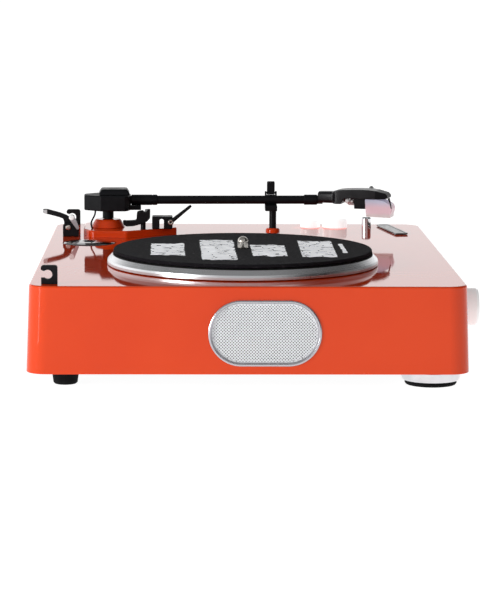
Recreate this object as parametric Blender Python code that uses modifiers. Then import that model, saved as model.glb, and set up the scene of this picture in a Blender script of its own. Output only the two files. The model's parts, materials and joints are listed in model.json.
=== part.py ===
"""Compact belt-drive record player with its lid removed.

Frame: X across the cabinet (right positive), Y to the back, Z up.  The origin is on the
floor under the middle of the cabinet.  Sizes are written in millimetres times MM.
"""
import math

import bmesh
import bpy
from mathutils import Matrix, Vector

MM = 0.001
GAP = 0.3 * MM                       # clearance kept between neighbouring solids

# ---- driving dimensions: cabinet -------------------------------------------------
CASE_WIDTH = 350 * MM                # across X, measured at the deck
CASE_DEPTH = 280 * MM                # along Y, measured at the deck
DECK_Z = 66 * MM                     # top of the deck above the floor
CASE_BOTTOM_Z = 9.7 * MM
DRAFT = math.radians(2.0)            # every side leans out towards the bottom
CORNER_RADIUS = 13 * MM
DECK_EDGE_RADIUS = 1.2 * MM
WALL = 2.6 * MM
DECK_THICKNESS = 3.0 * MM
DECK_UNDER_Z = DECK_Z - DECK_THICKNESS
BASE_PLATE_THICKNESS = 3.0 * MM
BOSS_X = 85 * MM
BOSS_Y = 128 * MM

# ---- feet --------------------------------------------------------------------------
FOOT_X = 153.5 * MM
FRONT_FOOT_Y = -118.5 * MM
REAR_FOOT_Y = 117.5 * MM
FRONT_FOOT_RADIUS = 19.3 * MM
REAR_FOOT_RADIUS = 8.25 * MM

# ---- speakers, measured in the plane of the side face --------------------------------
SPEAKER_Y = -10.4 * MM
SPEAKER_Z = 36.1 * MM
BEZEL_SIZE = (72.4 * MM, 42.2 * MM)
BEZEL_OPENING = (67.0 * MM, 36.8 * MM)

# ---- sockets in the back: name, place along the back, radius ----------------------------
REAR_SOCKETS = (
    ("dc_inlet", 128 * MM, 4.2 * MM),
    ("rca_jack_left", 96 * MM, 4.15 * MM),
    ("rca_jack_right", 82 * MM, 4.15 * MM),
)
REAR_SOCKET_Z = 36 * MM

# ---- platter -------------------------------------------------------------------------
PLATTER_XY = (-61 * MM, 1.4 * MM)
PLATTER_RADIUS = 92 * MM
MAT_RADIUS = 87.7 * MM
PLATTER_TOP_Z = 74 * MM
MAT_TOP_Z = 76.5 * MM
SPINDLE_RADIUS = 3.6 * MM
SPINDLE_TOP_Z = 84.5 * MM
BELT_RIM_RADIUS = 62 * MM
PULLEY_RADIUS = 3.1 * MM
MOTOR_DISTANCE = 74 * MM
MOTOR_ANGLE = math.radians(-40)
BELT_THICKNESS = 0.8 * MM

# ---- tonearm ---------------------------------------------------------------------------
PIVOT_XY = (110 * MM, 98.5 * MM)
ARM_ANGLE = math.radians(2.0)        # parked arm leans outwards at its front end
HEAD_ANGLE = math.radians(-20.0)     # headshell turns inwards from the arm
ARM_Z = 91.2 * MM                    # middle of the tube
ARM_TUBE_RADIUS = 3.15 * MM
COLLAR_RADIUS = 3.95 * MM
GIMBAL_Z = 88.3 * MM
HEAD_START = 157.5 * MM              # from the pivot to the rear of the headshell
ARM_BASE_TOP_Z = 71.0 * MM
TURRET_TOP_Z = 77.1 * MM
REST_XY = (114.3 * MM, -25.0 * MM)
REST_CLIP_PIVOT = (119.6 * MM, 95.9 * MM)         # x and z of the pin

# ---- cueing -------------------------------------------------------------------------------
CUE_BRACKET_X = (92 * MM, 104 * MM)
CUE_LEVER_PIVOT = (90.3 * MM, 51.6 * MM, 76.8 * MM)
CUE_LIFT_X = (90 * MM, 96 * MM)
CUE_BAR_END_X = 114.5 * MM
CUE_STEM_XY = (93.5 * MM, 72 * MM)

# ---- controls on the deck and the front -------------------------------------------------------
FRONT_KNOB_XZ = (-120 * MM, 45.3 * MM)
FRONT_KNOB_RADIUS = 12.3 * MM
FRONT_KNOB_FACE_Y = -152.4 * MM
SELECTOR_SMALL_XY = (151 * MM, -55 * MM)
SELECTOR_LARGE_XY = (150 * MM, -74 * MM)
POWER_BUTTON_XY = (148.5 * MM, -98 * MM)
BADGE_CENTRE = (132 * MM, -116.5 * MM)
BADGE_ANGLE = math.radians(9.8)
ADAPTER_XY = (51.5 * MM, 110.2 * MM)
ADAPTER_RADIUS = 19.05 * MM

# ---- lid hardware at the back -------------------------------------------------------------------
HINGE_CLIP_X = 164.5 * MM
HINGE_CLIP_Y = (121.7 * MM, 132.3 * MM)
HINGE_CLIP_TOP_Z = 78.2 * MM
STAY_X = 92 * MM
STAY_PIVOT = (92 * MM, 127.3 * MM, 72.9 * MM)

# ---- colours (linear) and surface of each material ------------------------------------------------
FINISHES = {
    "orange_gloss": ((0.72, 0.095, 0.030), 0.12, 0.0),
    "black_satin": ((0.012, 0.012, 0.014), 0.40, 0.0),
    "black_rubber": ((0.010, 0.010, 0.010), 0.75, 0.0),
    "chrome": ((0.75, 0.76, 0.78), 0.08, 1.0),
    "silver_paint": ((0.62, 0.63, 0.65), 0.35, 0.6),
    "grille_white": ((0.72, 0.73, 0.74), 0.45, 0.2),
    "felt_black": ((0.022, 0.023, 0.026), 0.95, 0.0),
    "nickel": ((0.55, 0.53, 0.50), 0.22, 1.0),
    "knob_white": ((0.80, 0.78, 0.74), 0.30, 0.0),
    "gunmetal": ((0.10, 0.10, 0.11), 0.25, 0.8),
    "badge_metal": ((0.42, 0.43, 0.44), 0.30, 1.0),
    "steel": ((0.50, 0.50, 0.52), 0.35, 1.0),
    "brass": ((0.60, 0.42, 0.16), 0.30, 1.0),
    "guard_pink": ((0.80, 0.45, 0.55), 0.15, 0.0),
    "board_green": ((0.02, 0.12, 0.05), 0.50, 0.0),
    "base_black": ((0.02, 0.02, 0.02), 0.60, 0.0),
}

# sides of a round piece, by how large it is
LARGE_ROUND = 42
MEDIUM_ROUND = 22
SMALL_ROUND = 14
TINY_ROUND = 10

PARTS = "record_player"
CUTTERS = "record_player_cutters"


# ======================================================================================
# helpers
# ======================================================================================
def clear_scene():
    for item in list(bpy.data.objects):
        bpy.data.objects.remove(item, do_unlink=True)
    for name in (PARTS, CUTTERS):
        collection = bpy.data.collections.new(name)
        bpy.context.scene.collection.children.link(collection)
    return bpy.data.collections[PARTS], bpy.data.collections[CUTTERS]


PART_COLLECTION, CUTTER_COLLECTION = clear_scene()


def make_materials():
    made = {}
    for name, (colour, roughness, metallic) in FINISHES.items():
        material = bpy.data.materials.new(name)
        material.use_nodes = True
        shader = material.node_tree.nodes["Principled BSDF"]
        shader.inputs["Base Color"].default_value = (*colour, 1.0)
        shader.inputs["Roughness"].default_value = roughness
        shader.inputs["Metallic"].default_value = metallic
        made[name] = material
    return made


MATERIALS = make_materials()


def empty(name, location, rotation_z=0.0, parent=None):
    """A pivot for a moving body, placed on its joint's axis."""
    item = bpy.data.objects.new(name, None)
    item.empty_display_size = 0.01
    PART_COLLECTION.objects.link(item)
    item.parent = parent
    item.location = location
    item.rotation_euler = (0.0, 0.0, rotation_z)
    return item


def add_mesh(name, mesh, material, parent=None, matrix=None):
    """Put a mesh in the model, or among the cutters when it has no material."""
    item = bpy.data.objects.new(name, mesh)
    if material is None:
        CUTTER_COLLECTION.objects.link(item)
        item.hide_render = True
        item.display_type = "WIRE"
    else:
        PART_COLLECTION.objects.link(item)
        mesh.materials.append(MATERIALS[material])
    item.parent = parent
    if matrix is not None:
        item.matrix_local = matrix
    return item


def smooth(item, angle=30):
    item.data.shade_smooth()
    item.data.set_sharp_from_angle(angle=math.radians(angle))


def mesh_from(name, work):
    bmesh.ops.recalc_face_normals(work, faces=work.faces)
    mesh = bpy.data.meshes.new(name)
    work.to_mesh(mesh)
    work.free()
    return mesh


def box(name, low, high, material, parent=None, bevel=0.0, matrix=None):
    """An axis-aligned block between two corners."""
    low, high = Vector(low), Vector(high)
    work = bmesh.new()
    bmesh.ops.create_cube(work, size=1.0)
    bmesh.ops.scale(work, vec=high - low, verts=work.verts)
    bmesh.ops.translate(work, vec=(low + high) / 2, verts=work.verts)
    if bevel:
        bmesh.ops.bevel(work, geom=work.edges[:], offset=bevel, segments=2, profile=0.5, affect="EDGES")
    item = add_mesh(name, mesh_from(name, work), material, parent, matrix)
    smooth(item)
    return item


def cylinder(name, radius, start, end, material, parent=None, segments=SMALL_ROUND, matrix=None,
    end_radius=None):
    """A round bar, or a cone, from one point to another."""
    start, end = Vector(start), Vector(end)
    span = end - start
    work = bmesh.new()
    bmesh.ops.create_cone(
        work, cap_ends=True, segments=segments, radius1=radius,
        radius2=radius if end_radius is None else end_radius, depth=span.length)
    turn = span.to_track_quat("Z", "Y").to_matrix().to_4x4()
    bmesh.ops.transform(work, matrix=Matrix.Translation((start + end) / 2) @ turn, verts=work.verts)
    item = add_mesh(name, mesh_from(name, work), material, parent, matrix)
    smooth(item)
    return item


def turned(name, profile, material, parent=None, segments=MEDIUM_ROUND, matrix=None):
    """A turned piece: (radius, height) points down the outer side, spun about local Z.

    A profile that starts and ends on the axis is left open there; any other is closed.
    """
    work = bmesh.new()
    verts = [work.verts.new((radius, 0.0, height)) for radius, height in profile]
    for first, second in zip(verts, verts[1:]):
        work.edges.new((first, second))
    if profile[0][0] > 0.0:
        work.edges.new((verts[-1], verts[0]))
    mesh = bpy.data.meshes.new(name)
    work.to_mesh(mesh)
    work.free()
    item = add_mesh(name, mesh, material, parent, matrix)
    screw = item.modifiers.new("spin", "SCREW")
    screw.axis = "Z"
    screw.steps = segments
    screw.render_steps = segments
    screw.use_merge_vertices = True
    screw.merge_threshold = 0.00001
    screw.use_smooth_shade = True
    return item


def arc(centre, radius, start, end, count):
    """Points along an arc; angles in degrees."""
    points = []
    for step in range(count + 1):
        angle = math.radians(start + (end - start) * step / count)
        points.append((centre[0] + radius * math.cos(angle), centre[1] + radius * math.sin(angle)))
    return points


def stadium(width, height, count=8):
    """A straight-sided outline with half-round ends, longer along its first axis."""
    radius = height / 2
    middle = width / 2 - radius
    return arc((middle, 0), radius, -90, 90, count) + arc((-middle, 0), radius, 90, 270, count)


def rounded_outline(corners, radius, count=4):
    """A polygon, anticlockwise, with each corner rounded to the same radius."""
    points = []
    total = len(corners)
    for index in range(total):
        here = Vector(corners[index])
        back = (Vector(corners[index - 1]) - here).normalized()
        ahead = (Vector(corners[(index + 1) % total]) - here).normalized()
        half = math.acos(max(-1.0, min(1.0, back.dot(ahead)))) / 2
        reach = radius / math.tan(half)
        centre = here + (back + ahead).normalized() * (radius / math.sin(half))
        first = here + back * reach - centre
        last = here + ahead * reach - centre
        sweep = first.angle_signed(last)
        for step in range(count + 1):
            points.append(tuple(centre + Matrix.Rotation(-sweep * step / count, 2) @ first))
    return points


def plate(name, outline, thickness, material, parent=None, matrix=None, bevel=0.0):
    """A flat outline given a thickness, its middle plane at local z = 0."""
    curve = bpy.data.curves.new(name, "CURVE")
    curve.dimensions = "2D"
    curve.fill_mode = "BOTH"
    curve.extrude = thickness / 2
    spline = curve.splines.new("POLY")
    spline.points.add(len(outline) - 1)
    for point, (x, y) in zip(spline.points, outline):
        point.co = (x, y, 0.0, 1.0)
    spline.use_cyclic_u = True
    holder = bpy.data.objects.new(name + "_outline", curve)
    CUTTER_COLLECTION.objects.link(holder)
    bpy.context.view_layer.update()
    graph = bpy.context.evaluated_depsgraph_get()
    mesh = bpy.data.meshes.new_from_object(holder.evaluated_get(graph))
    bpy.data.objects.remove(holder, do_unlink=True)
    mesh.name = name
    work = bmesh.new()
    work.from_mesh(mesh)
    bmesh.ops.remove_doubles(work, verts=work.verts, dist=0.000001)
    bmesh.ops.recalc_face_normals(work, faces=work.faces)
    work.to_mesh(mesh)
    work.free()
    mesh.materials.clear()
    item = add_mesh(name, mesh, material, parent, matrix)
    if bevel:
        modifier = item.modifiers.new("edge", "BEVEL")
        modifier.width = bevel
        modifier.segments = 2
        modifier.angle_limit = math.radians(50)
    smooth(item)
    return item


def side_plate(name, outline, x_from, x_to, material, parent=None, bevel=0.0):
    """A plate whose outline is drawn in the YZ plane and whose thickness runs along X."""
    stand = Matrix(((0, 0, 1, (x_from + x_to) / 2), (1, 0, 0, 0), (0, 1, 0, 0), (0, 0, 0, 1)))
    return plate(name, outline, x_to - x_from, material, parent, stand, bevel)


def boolean(item, other, operation="DIFFERENCE"):
    modifier = item.modifiers.new(other.name, "BOOLEAN")
    modifier.operation = operation
    modifier.object = other
    modifier.solver = "EXACT"


def soften(item, width, segments=2, angle=40):
    """Round the sharp edges; used before any cut."""
    modifier = item.modifiers.new("edge", "BEVEL")
    modifier.width = width
    modifier.segments = segments
    modifier.limit_method = "ANGLE"
    modifier.angle_limit = math.radians(angle)


def face_frame(side, along, height):
    """Local frame on a leaning side face: local z points out, local y points up the face."""
    outward = {"left": (-1, 0), "right": (1, 0), "front": (0, -1), "back": (0, 1)}[side]
    half = (CASE_WIDTH if side in ("left", "right") else CASE_DEPTH) / 2
    reach = half + (DECK_Z - height) * math.tan(DRAFT)
    if outward[0]:
        origin = Vector((outward[0] * reach, along, height))
    else:
        origin = Vector((along, outward[1] * reach, height))
    lean, rise = math.cos(DRAFT), math.sin(DRAFT)
    normal = Vector((outward[0] * lean, outward[1] * lean, rise))
    upward = Vector((-outward[0] * rise, -outward[1] * rise, lean))
    across = upward.cross(normal)
    frame = Matrix((across, upward, normal)).transposed().to_4x4()
    return Matrix.Translation(origin) @ frame


# ======================================================================================
# cabinet
# ======================================================================================
def leaning_block(name, inset, bottom, top, corner_radius, edge_radius, material, segments):
    """A rounded block whose sides follow the cabinet's lean, set in by a distance."""
    work = bmesh.new()
    bmesh.ops.create_cube(work, size=1.0)
    for vert in work.verts:
        height = top if vert.co.z > 0 else bottom
        flare = (DECK_Z - height) * math.tan(DRAFT) - inset
        vert.co.x = math.copysign(CASE_WIDTH / 2 + flare, vert.co.x)
        vert.co.y = math.copysign(CASE_DEPTH / 2 + flare, vert.co.y)
        vert.co.z = height
    uprights = [edge for edge in work.edges if abs(edge.verts[0].co.z - edge.verts[1].co.z) > MM]
    bmesh.ops.bevel(work, geom=uprights, offset=corner_radius, segments=segments, profile=0.5, affect="EDGES")
    if edge_radius:
        rim = [edge for edge in work.edges if all(vert.co.z > top - 0.01 * MM for vert in edge.verts)]
        bmesh.ops.bevel(work, geom=rim, offset=edge_radius, segments=2, profile=0.5, affect="EDGES")
    item = add_mesh(name, mesh_from(name, work), material)
    smooth(item)
    return item


def motor_xy():
    return (PLATTER_XY[0] + MOTOR_DISTANCE * math.cos(MOTOR_ANGLE),
            PLATTER_XY[1] + MOTOR_DISTANCE * math.sin(MOTOR_ANGLE))


def upright(name, radius, xy, low, high, material=None, segments=SMALL_ROUND):
    return cylinder(name, radius, (*xy, low), (*xy, high), material, segments=segments)


def cabinet_shell():
    shell = leaning_block(
        "cabinet_shell", 0.0, CASE_BOTTOM_Z, DECK_Z, CORNER_RADIUS, DECK_EDGE_RADIUS, "orange_gloss", 5)
    hollow = leaning_block(
        "cut_cabinet_hollow", WALL, CASE_BOTTOM_Z - 5 * MM, DECK_UNDER_Z,
        CORNER_RADIUS - WALL, 0.0, None, 5)
    boolean(shell, hollow)
    boss_low = CASE_BOTTOM_Z + BASE_PLATE_THICKNESS + GAP
    for index, (sx, sy) in enumerate(((-1, -1), (1, -1), (-1, 1), (1, 1))):
        place = (sx * BOSS_X, sy * BOSS_Y)
        post = upright(f"add_boss_{index}", 4.5 * MM, place, boss_low, DECK_UNDER_Z + MM, segments=TINY_ROUND)
        boolean(shell, post, "UNION")
    cup = upright("add_adapter_cup", 22 * MM, ADAPTER_XY, DECK_Z - 6.2 * MM, DECK_Z - MM)
    boolean(shell, cup, "UNION")
    top = DECK_Z + 5 * MM
    cutters = [
        upright("cut_bearing", 6.4 * MM, PLATTER_XY, DECK_UNDER_Z - MM, top),
        upright("cut_motor", 7.0 * MM, motor_xy(), DECK_UNDER_Z - MM, top),
        upright("cut_adapter", ADAPTER_RADIUS + 0.4 * MM, ADAPTER_XY, DECK_Z - 4.0 * MM, top,
            segments=MEDIUM_ROUND),
        upright("cut_selector_small", 2.9 * MM, SELECTOR_SMALL_XY, DECK_UNDER_Z - MM, top,
            segments=TINY_ROUND),
        upright("cut_selector_large", 2.9 * MM, SELECTOR_LARGE_XY, DECK_UNDER_Z - MM, top,
            segments=TINY_ROUND),
        upright("cut_power_button", 3.95 * MM, POWER_BUTTON_XY, DECK_UNDER_Z - MM, top, segments=SMALL_ROUND),
    ]
    for index, (sx, sy) in enumerate(((-1, -1), (1, -1), (-1, 1), (1, 1))):
        place = (sx * BOSS_X, sy * BOSS_Y)
        cutters.append(upright(f"cut_boss_{index}", 1.8 * MM, place, 0, 40 * MM, segments=TINY_ROUND))
    knob_x, knob_z = FRONT_KNOB_XZ
    cutters.append(cylinder(
        "cut_front_shaft", 3.6 * MM, (knob_x, -150 * MM, knob_z), (knob_x, -130 * MM, knob_z), None))
    for side in ("left", "right"):
        window = plate(
            f"cut_window_{side}", stadium(69.0 * MM, 38.8 * MM), 12 * MM, None,
            matrix=face_frame(side, SPEAKER_Y, SPEAKER_Z))
        cutters.append(window)
    for name, along, radius in REAR_SOCKETS:
        frame = face_frame("back", along, REAR_SOCKET_Z)
        cutters.append(cylinder(
            f"cut_{name}", radius + 0.4 * MM, (0, 0, -8 * MM), (0, 0, 8 * MM), None, segments=SMALL_ROUND,
            matrix=frame))
    for cutter in cutters:
        boolean(shell, cutter)


# name, place along X, radius of the part that passes through the wall


def base_plate():
    low, high = CASE_BOTTOM_Z, CASE_BOTTOM_Z + BASE_PLATE_THICKNESS
    half_x = CASE_WIDTH / 2 + (DECK_Z - high) * math.tan(DRAFT) - WALL - 0.5 * MM
    half_y = half_x - (CASE_WIDTH - CASE_DEPTH) / 2
    corners = ((-half_x, -half_y), (half_x, -half_y), (half_x, half_y), (-half_x, half_y))
    panel = plate(
        "base_plate", rounded_outline(corners, CORNER_RADIUS - WALL, 6), high - low, "base_black",
        matrix=Matrix.Translation((0, 0, (low + high) / 2)))
    for index, (sx, sy) in enumerate(((-1, -1), (1, -1), (-1, 1), (1, 1))):
        place = (sx * BOSS_X, sy * BOSS_Y)
        boolean(panel, upright(f"cut_base_hole_{index}", 1.8 * MM, place, 0, 20 * MM, segments=TINY_ROUND))
        boolean(panel, upright(f"cut_base_sink_{index}", 3.3 * MM, place, 0, low + 1.9 * MM,
            segments=SMALL_ROUND))
        turned(
            "base_screw_" + ("front" if sy < 0 else "rear") + ("_left" if sx < 0 else "_right"),
            ((0, 22 * MM), (1.1 * MM, 22 * MM), (1.5 * MM, 21.4 * MM), (1.5 * MM, low + 1.6 * MM),
             (3.0 * MM, low + 1.6 * MM), (3.0 * MM, low + 0.7 * MM), (2.4 * MM, low + 0.2 * MM),
             (0, low + 0.2 * MM)),
            "steel", segments=TINY_ROUND, matrix=Matrix.Translation((*place, 0)))


def feet():
    top = CASE_BOTTOM_Z - GAP
    ring = (
        (0, top), (FRONT_FOOT_RADIUS - 0.6 * MM, top), (FRONT_FOOT_RADIUS, top - 0.6 * MM),
        (FRONT_FOOT_RADIUS, 3.6 * MM), (FRONT_FOOT_RADIUS - 0.4 * MM, 3.2 * MM),
        (17.3 * MM, 3.2 * MM), (17.3 * MM, 7.4 * MM), (0, 7.4 * MM))
    pad = (
        (0, 7.1 * MM), (16.85 * MM, 7.1 * MM), (16.85 * MM, 0.8 * MM), (16.05 * MM, 0), (0, 0))
    rear = (
        (0, top), (REAR_FOOT_RADIUS, top), (7.2 * MM, 0.7 * MM), (6.5 * MM, 0),
        (2.6 * MM, 0), (2.2 * MM, 1.6 * MM), (0, 1.6 * MM))
    for side, sx in (("left", -1), ("right", 1)):
        front_place = Matrix.Translation((sx * FOOT_X, FRONT_FOOT_Y, 0))
        rear_place = Matrix.Translation((sx * FOOT_X, REAR_FOOT_Y, 0))
        turned(f"foot_ring_front_{side}", ring, "chrome", segments=MEDIUM_ROUND, matrix=front_place)
        turned(f"foot_pad_front_{side}", pad, "black_rubber", segments=MEDIUM_ROUND, matrix=front_place)
        turned(f"foot_rear_{side}", rear, "black_rubber", segments=SMALL_ROUND, matrix=rear_place)


def speakers():
    for side in ("left", "right"):
        frame = face_frame(side, SPEAKER_Y, SPEAKER_Z)
        bezel = plate(
            f"speaker_bezel_{side}", stadium(*BEZEL_SIZE, 10), 0.9 * MM, "silver_paint",
            matrix=frame @ Matrix.Translation((0, 0, 0.75 * MM)))
        soften(bezel, 0.35 * MM)
        sleeve = plate(
            f"add_sleeve_{side}", stadium(68.2 * MM, 38.0 * MM, 10), 4.2 * MM, None,
            matrix=frame @ Matrix.Translation((0, 0, -1.3 * MM)))
        boolean(bezel, sleeve, "UNION")
        recess = plate(
            f"cut_recess_{side}", stadium(*BEZEL_OPENING, 10), 6 * MM, None,
            matrix=frame @ Matrix.Translation((0, 0, 1.1 * MM)))
        through = plate(
            f"cut_through_{side}", stadium(63.6 * MM, 33.4 * MM, 10), 20 * MM, None, matrix=frame)
        boolean(bezel, recess)
        boolean(bezel, through)
        plate(
            f"speaker_grille_{side}", stadium(66.2 * MM, 36.0 * MM, 10), 0.8 * MM, "grille_white",
            matrix=frame @ Matrix.Translation((0, 0, -1.2 * MM)))
        turned(
            f"speaker_driver_{side}",
            ((0, -9.4 * MM), (5.0 * MM, -10.4 * MM), (14.5 * MM, -4.9 * MM), (16.2 * MM, -4.4 * MM),
             (17.8 * MM, -4.1 * MM), (17.8 * MM, -5.8 * MM), (16.4 * MM, -6.2 * MM), (11.0 * MM, -14.0 * MM),
             (13.0 * MM, -14.2 * MM), (13.0 * MM, -22.0 * MM), (0, -22.0 * MM)),
            "black_satin", segments=MEDIUM_ROUND, matrix=frame)


def rear_sockets():
    for name, along, radius in REAR_SOCKETS:
        frame = face_frame("back", along, REAR_SOCKET_Z)
        if name == "dc_inlet":
            profile = (
                (0, 0.2 * MM), (0.9 * MM, 0.0), (1.0 * MM, -6 * MM), (2.9 * MM, -6 * MM),
                (2.9 * MM, 1.2 * MM),
                (5.6 * MM, 1.2 * MM), (5.6 * MM, 0.35 * MM), (radius, 0.35 * MM), (radius, -9 * MM),
                (0, -9 * MM))
            finish = "black_satin"
        else:
            profile = (
                (0, -3 * MM), (1.7 * MM, -3 * MM), (1.7 * MM, 8 * MM), (3.5 * MM, 8 * MM), (radius, 7.4 * MM),
                (radius, 1.6 * MM), (5.8 * MM, 1.6 * MM), (5.8 * MM, 0.35 * MM), (radius, 0.35 * MM),
                (radius, -6 * MM), (0, -6 * MM))
            finish = "nickel"
        turned(name, profile, finish, segments=SMALL_ROUND, matrix=frame)


# ======================================================================================
# drive
# ======================================================================================
def belt_outline(big, small, distance):
    """Anticlockwise outline round two pulleys: a big one at the origin, a small one along +X."""
    lean = math.degrees(math.acos((big - small) / distance))
    return arc((0, 0), big, lean, 360 - lean, 28) + arc((distance, 0), small, -lean, lean, 6)


def drive():
    frame = Matrix.Translation((*PLATTER_XY, 0))
    body = empty("platter_axis", (*PLATTER_XY, 0))
    radius = PLATTER_RADIUS
    turned(
        "platter",
        ((3.9 * MM, PLATTER_TOP_Z), (88.0 * MM, PLATTER_TOP_Z), (88.4 * MM, 73.7 * MM),
            (88.5 * MM, 73.0 * MM),
         (88.9 * MM, 72.9 * MM), (89.1 * MM, 73.4 * MM), (91.3 * MM, 70.6 * MM), (radius, 69.6 * MM),
         (radius, 68.6 * MM), (91.7 * MM, 68.3 * MM), (89.9 * MM, 68.3 * MM), (88.0 * MM, 71.3 * MM),
         (BELT_RIM_RADIUS, 71.3 * MM), (BELT_RIM_RADIUS, 67.5 * MM), (59.0 * MM, 67.5 * MM),
         (59.0 * MM, 71.3 * MM), (12.0 * MM, 71.3 * MM), (12.0 * MM, 67.5 * MM), (3.9 * MM, 67.5 * MM)),
        "silver_paint", body, segments=LARGE_ROUND)
    turned(
        "slipmat",
        ((3.9 * MM, MAT_TOP_Z), (MAT_RADIUS - 0.4 * MM, MAT_TOP_Z), (MAT_RADIUS, MAT_TOP_Z - 0.4 * MM),
         (MAT_RADIUS, PLATTER_TOP_Z + GAP), (3.9 * MM, PLATTER_TOP_Z + GAP)),
        "felt_black", body, segments=LARGE_ROUND)
    turned(
        "spindle",
        ((0, SPINDLE_TOP_Z), (1.4 * MM, SPINDLE_TOP_Z - 0.3 * MM), (2.5 * MM, SPINDLE_TOP_Z - 1.1 * MM),
         (3.3 * MM, SPINDLE_TOP_Z - 2.4 * MM), (SPINDLE_RADIUS, SPINDLE_TOP_Z - 3.6 * MM),
         (SPINDLE_RADIUS, 42.8 * MM), (3.1 * MM, 42.3 * MM), (0, 42.3 * MM)),
        "nickel", body, segments=SMALL_ROUND)
    turned(
        "bearing_sleeve",
        ((0, 42.0 * MM), (3.9 * MM, 42.0 * MM), (3.9 * MM, 66.9 * MM), (6.0 * MM, 66.9 * MM),
         (6.0 * MM, DECK_UNDER_Z - GAP), (11.0 * MM, DECK_UNDER_Z - GAP), (11.0 * MM, 60.5 * MM),
         (6.0 * MM, 60.5 * MM), (6.0 * MM, 39.5 * MM), (0, 39.5 * MM)),
        "brass", segments=SMALL_ROUND, matrix=frame)
    shaft_frame = Matrix.Translation((*motor_xy(), 0))
    turned(
        "motor_can",
        ((0, 55.0 * MM), (1.6 * MM, 55.0 * MM), (1.6 * MM, 62.7 * MM), (5.0 * MM, 62.7 * MM),
         (5.0 * MM, 61.2 * MM), (15.0 * MM, 61.2 * MM), (16.0 * MM, 60.2 * MM), (16.0 * MM, 42.0 * MM),
         (15.2 * MM, 41.2 * MM), (0, 41.2 * MM)),
        "steel", segments=MEDIUM_ROUND, matrix=shaft_frame)
    motor_axis = empty("motor_axis", (*motor_xy(), 0))
    turned(
        "motor_pulley",
        ((0, 71.0 * MM), (4.4 * MM, 71.0 * MM), (4.4 * MM, 70.9 * MM), (PULLEY_RADIUS, 70.8 * MM),
         (PULLEY_RADIUS, 67.6 * MM), (4.4 * MM, 67.2 * MM), (4.4 * MM, 66.7 * MM), (1.2 * MM, 66.7 * MM),
         (1.2 * MM, 55.3 * MM), (0, 55.3 * MM)),
        "brass", motor_axis, segments=SMALL_ROUND)
    inner = belt_outline(BELT_RIM_RADIUS + GAP, PULLEY_RADIUS + GAP, MOTOR_DISTANCE)
    outer = belt_outline(
        BELT_RIM_RADIUS + GAP + BELT_THICKNESS, PULLEY_RADIUS + GAP + BELT_THICKNESS, MOTOR_DISTANCE)
    place = (Matrix.Translation((*PLATTER_XY, 69.2 * MM)) @ Matrix.Rotation(MOTOR_ANGLE, 4, "Z"))
    belt = plate("drive_belt", outer, 2.4 * MM, "black_rubber", matrix=place)
    boolean(belt, plate("cut_belt", inner, 8 * MM, None, matrix=place))


# ======================================================================================
# tonearm: base, swinging yoke, lifting arm
# ======================================================================================
def tonearm_base():
    x0, y0 = PIVOT_XY
    corners = (
        (84 * MM, 110 * MM), (82 * MM, 84 * MM), (106 * MM, 47.2 * MM), (128 * MM, 47.2 * MM),
        (139 * MM, 78 * MM), (139 * MM, 116.4 * MM), (98 * MM, 116.4 * MM))
    low, high = DECK_Z + GAP, ARM_BASE_TOP_Z
    base = plate(
        "tonearm_base", rounded_outline(corners, 4 * MM, 4), high - low, "orange_gloss",
        matrix=Matrix.Translation((0, 0, (low + high) / 2)), bevel=0.8 * MM)
    boolean(base, upright("cut_base_pivot", 3.4 * MM, PIVOT_XY, 60 * MM, 80 * MM, segments=SMALL_ROUND))
    boolean(base, upright("cut_base_lift", 2.3 * MM, CUE_STEM_XY, 60 * MM, 80 * MM, segments=TINY_ROUND))
    turned(
        "tonearm_turret",
        ((3.0 * MM, TURRET_TOP_Z), (9.0 * MM, TURRET_TOP_Z), (9.8 * MM, TURRET_TOP_Z - 0.7 * MM),
         (12.0 * MM, ARM_BASE_TOP_Z + 1.0 * MM), (12.8 * MM, ARM_BASE_TOP_Z + GAP),
         (3.0 * MM, ARM_BASE_TOP_Z + GAP)),
        "orange_gloss", segments=MEDIUM_ROUND, matrix=Matrix.Translation((x0, y0, 0)))


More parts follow.
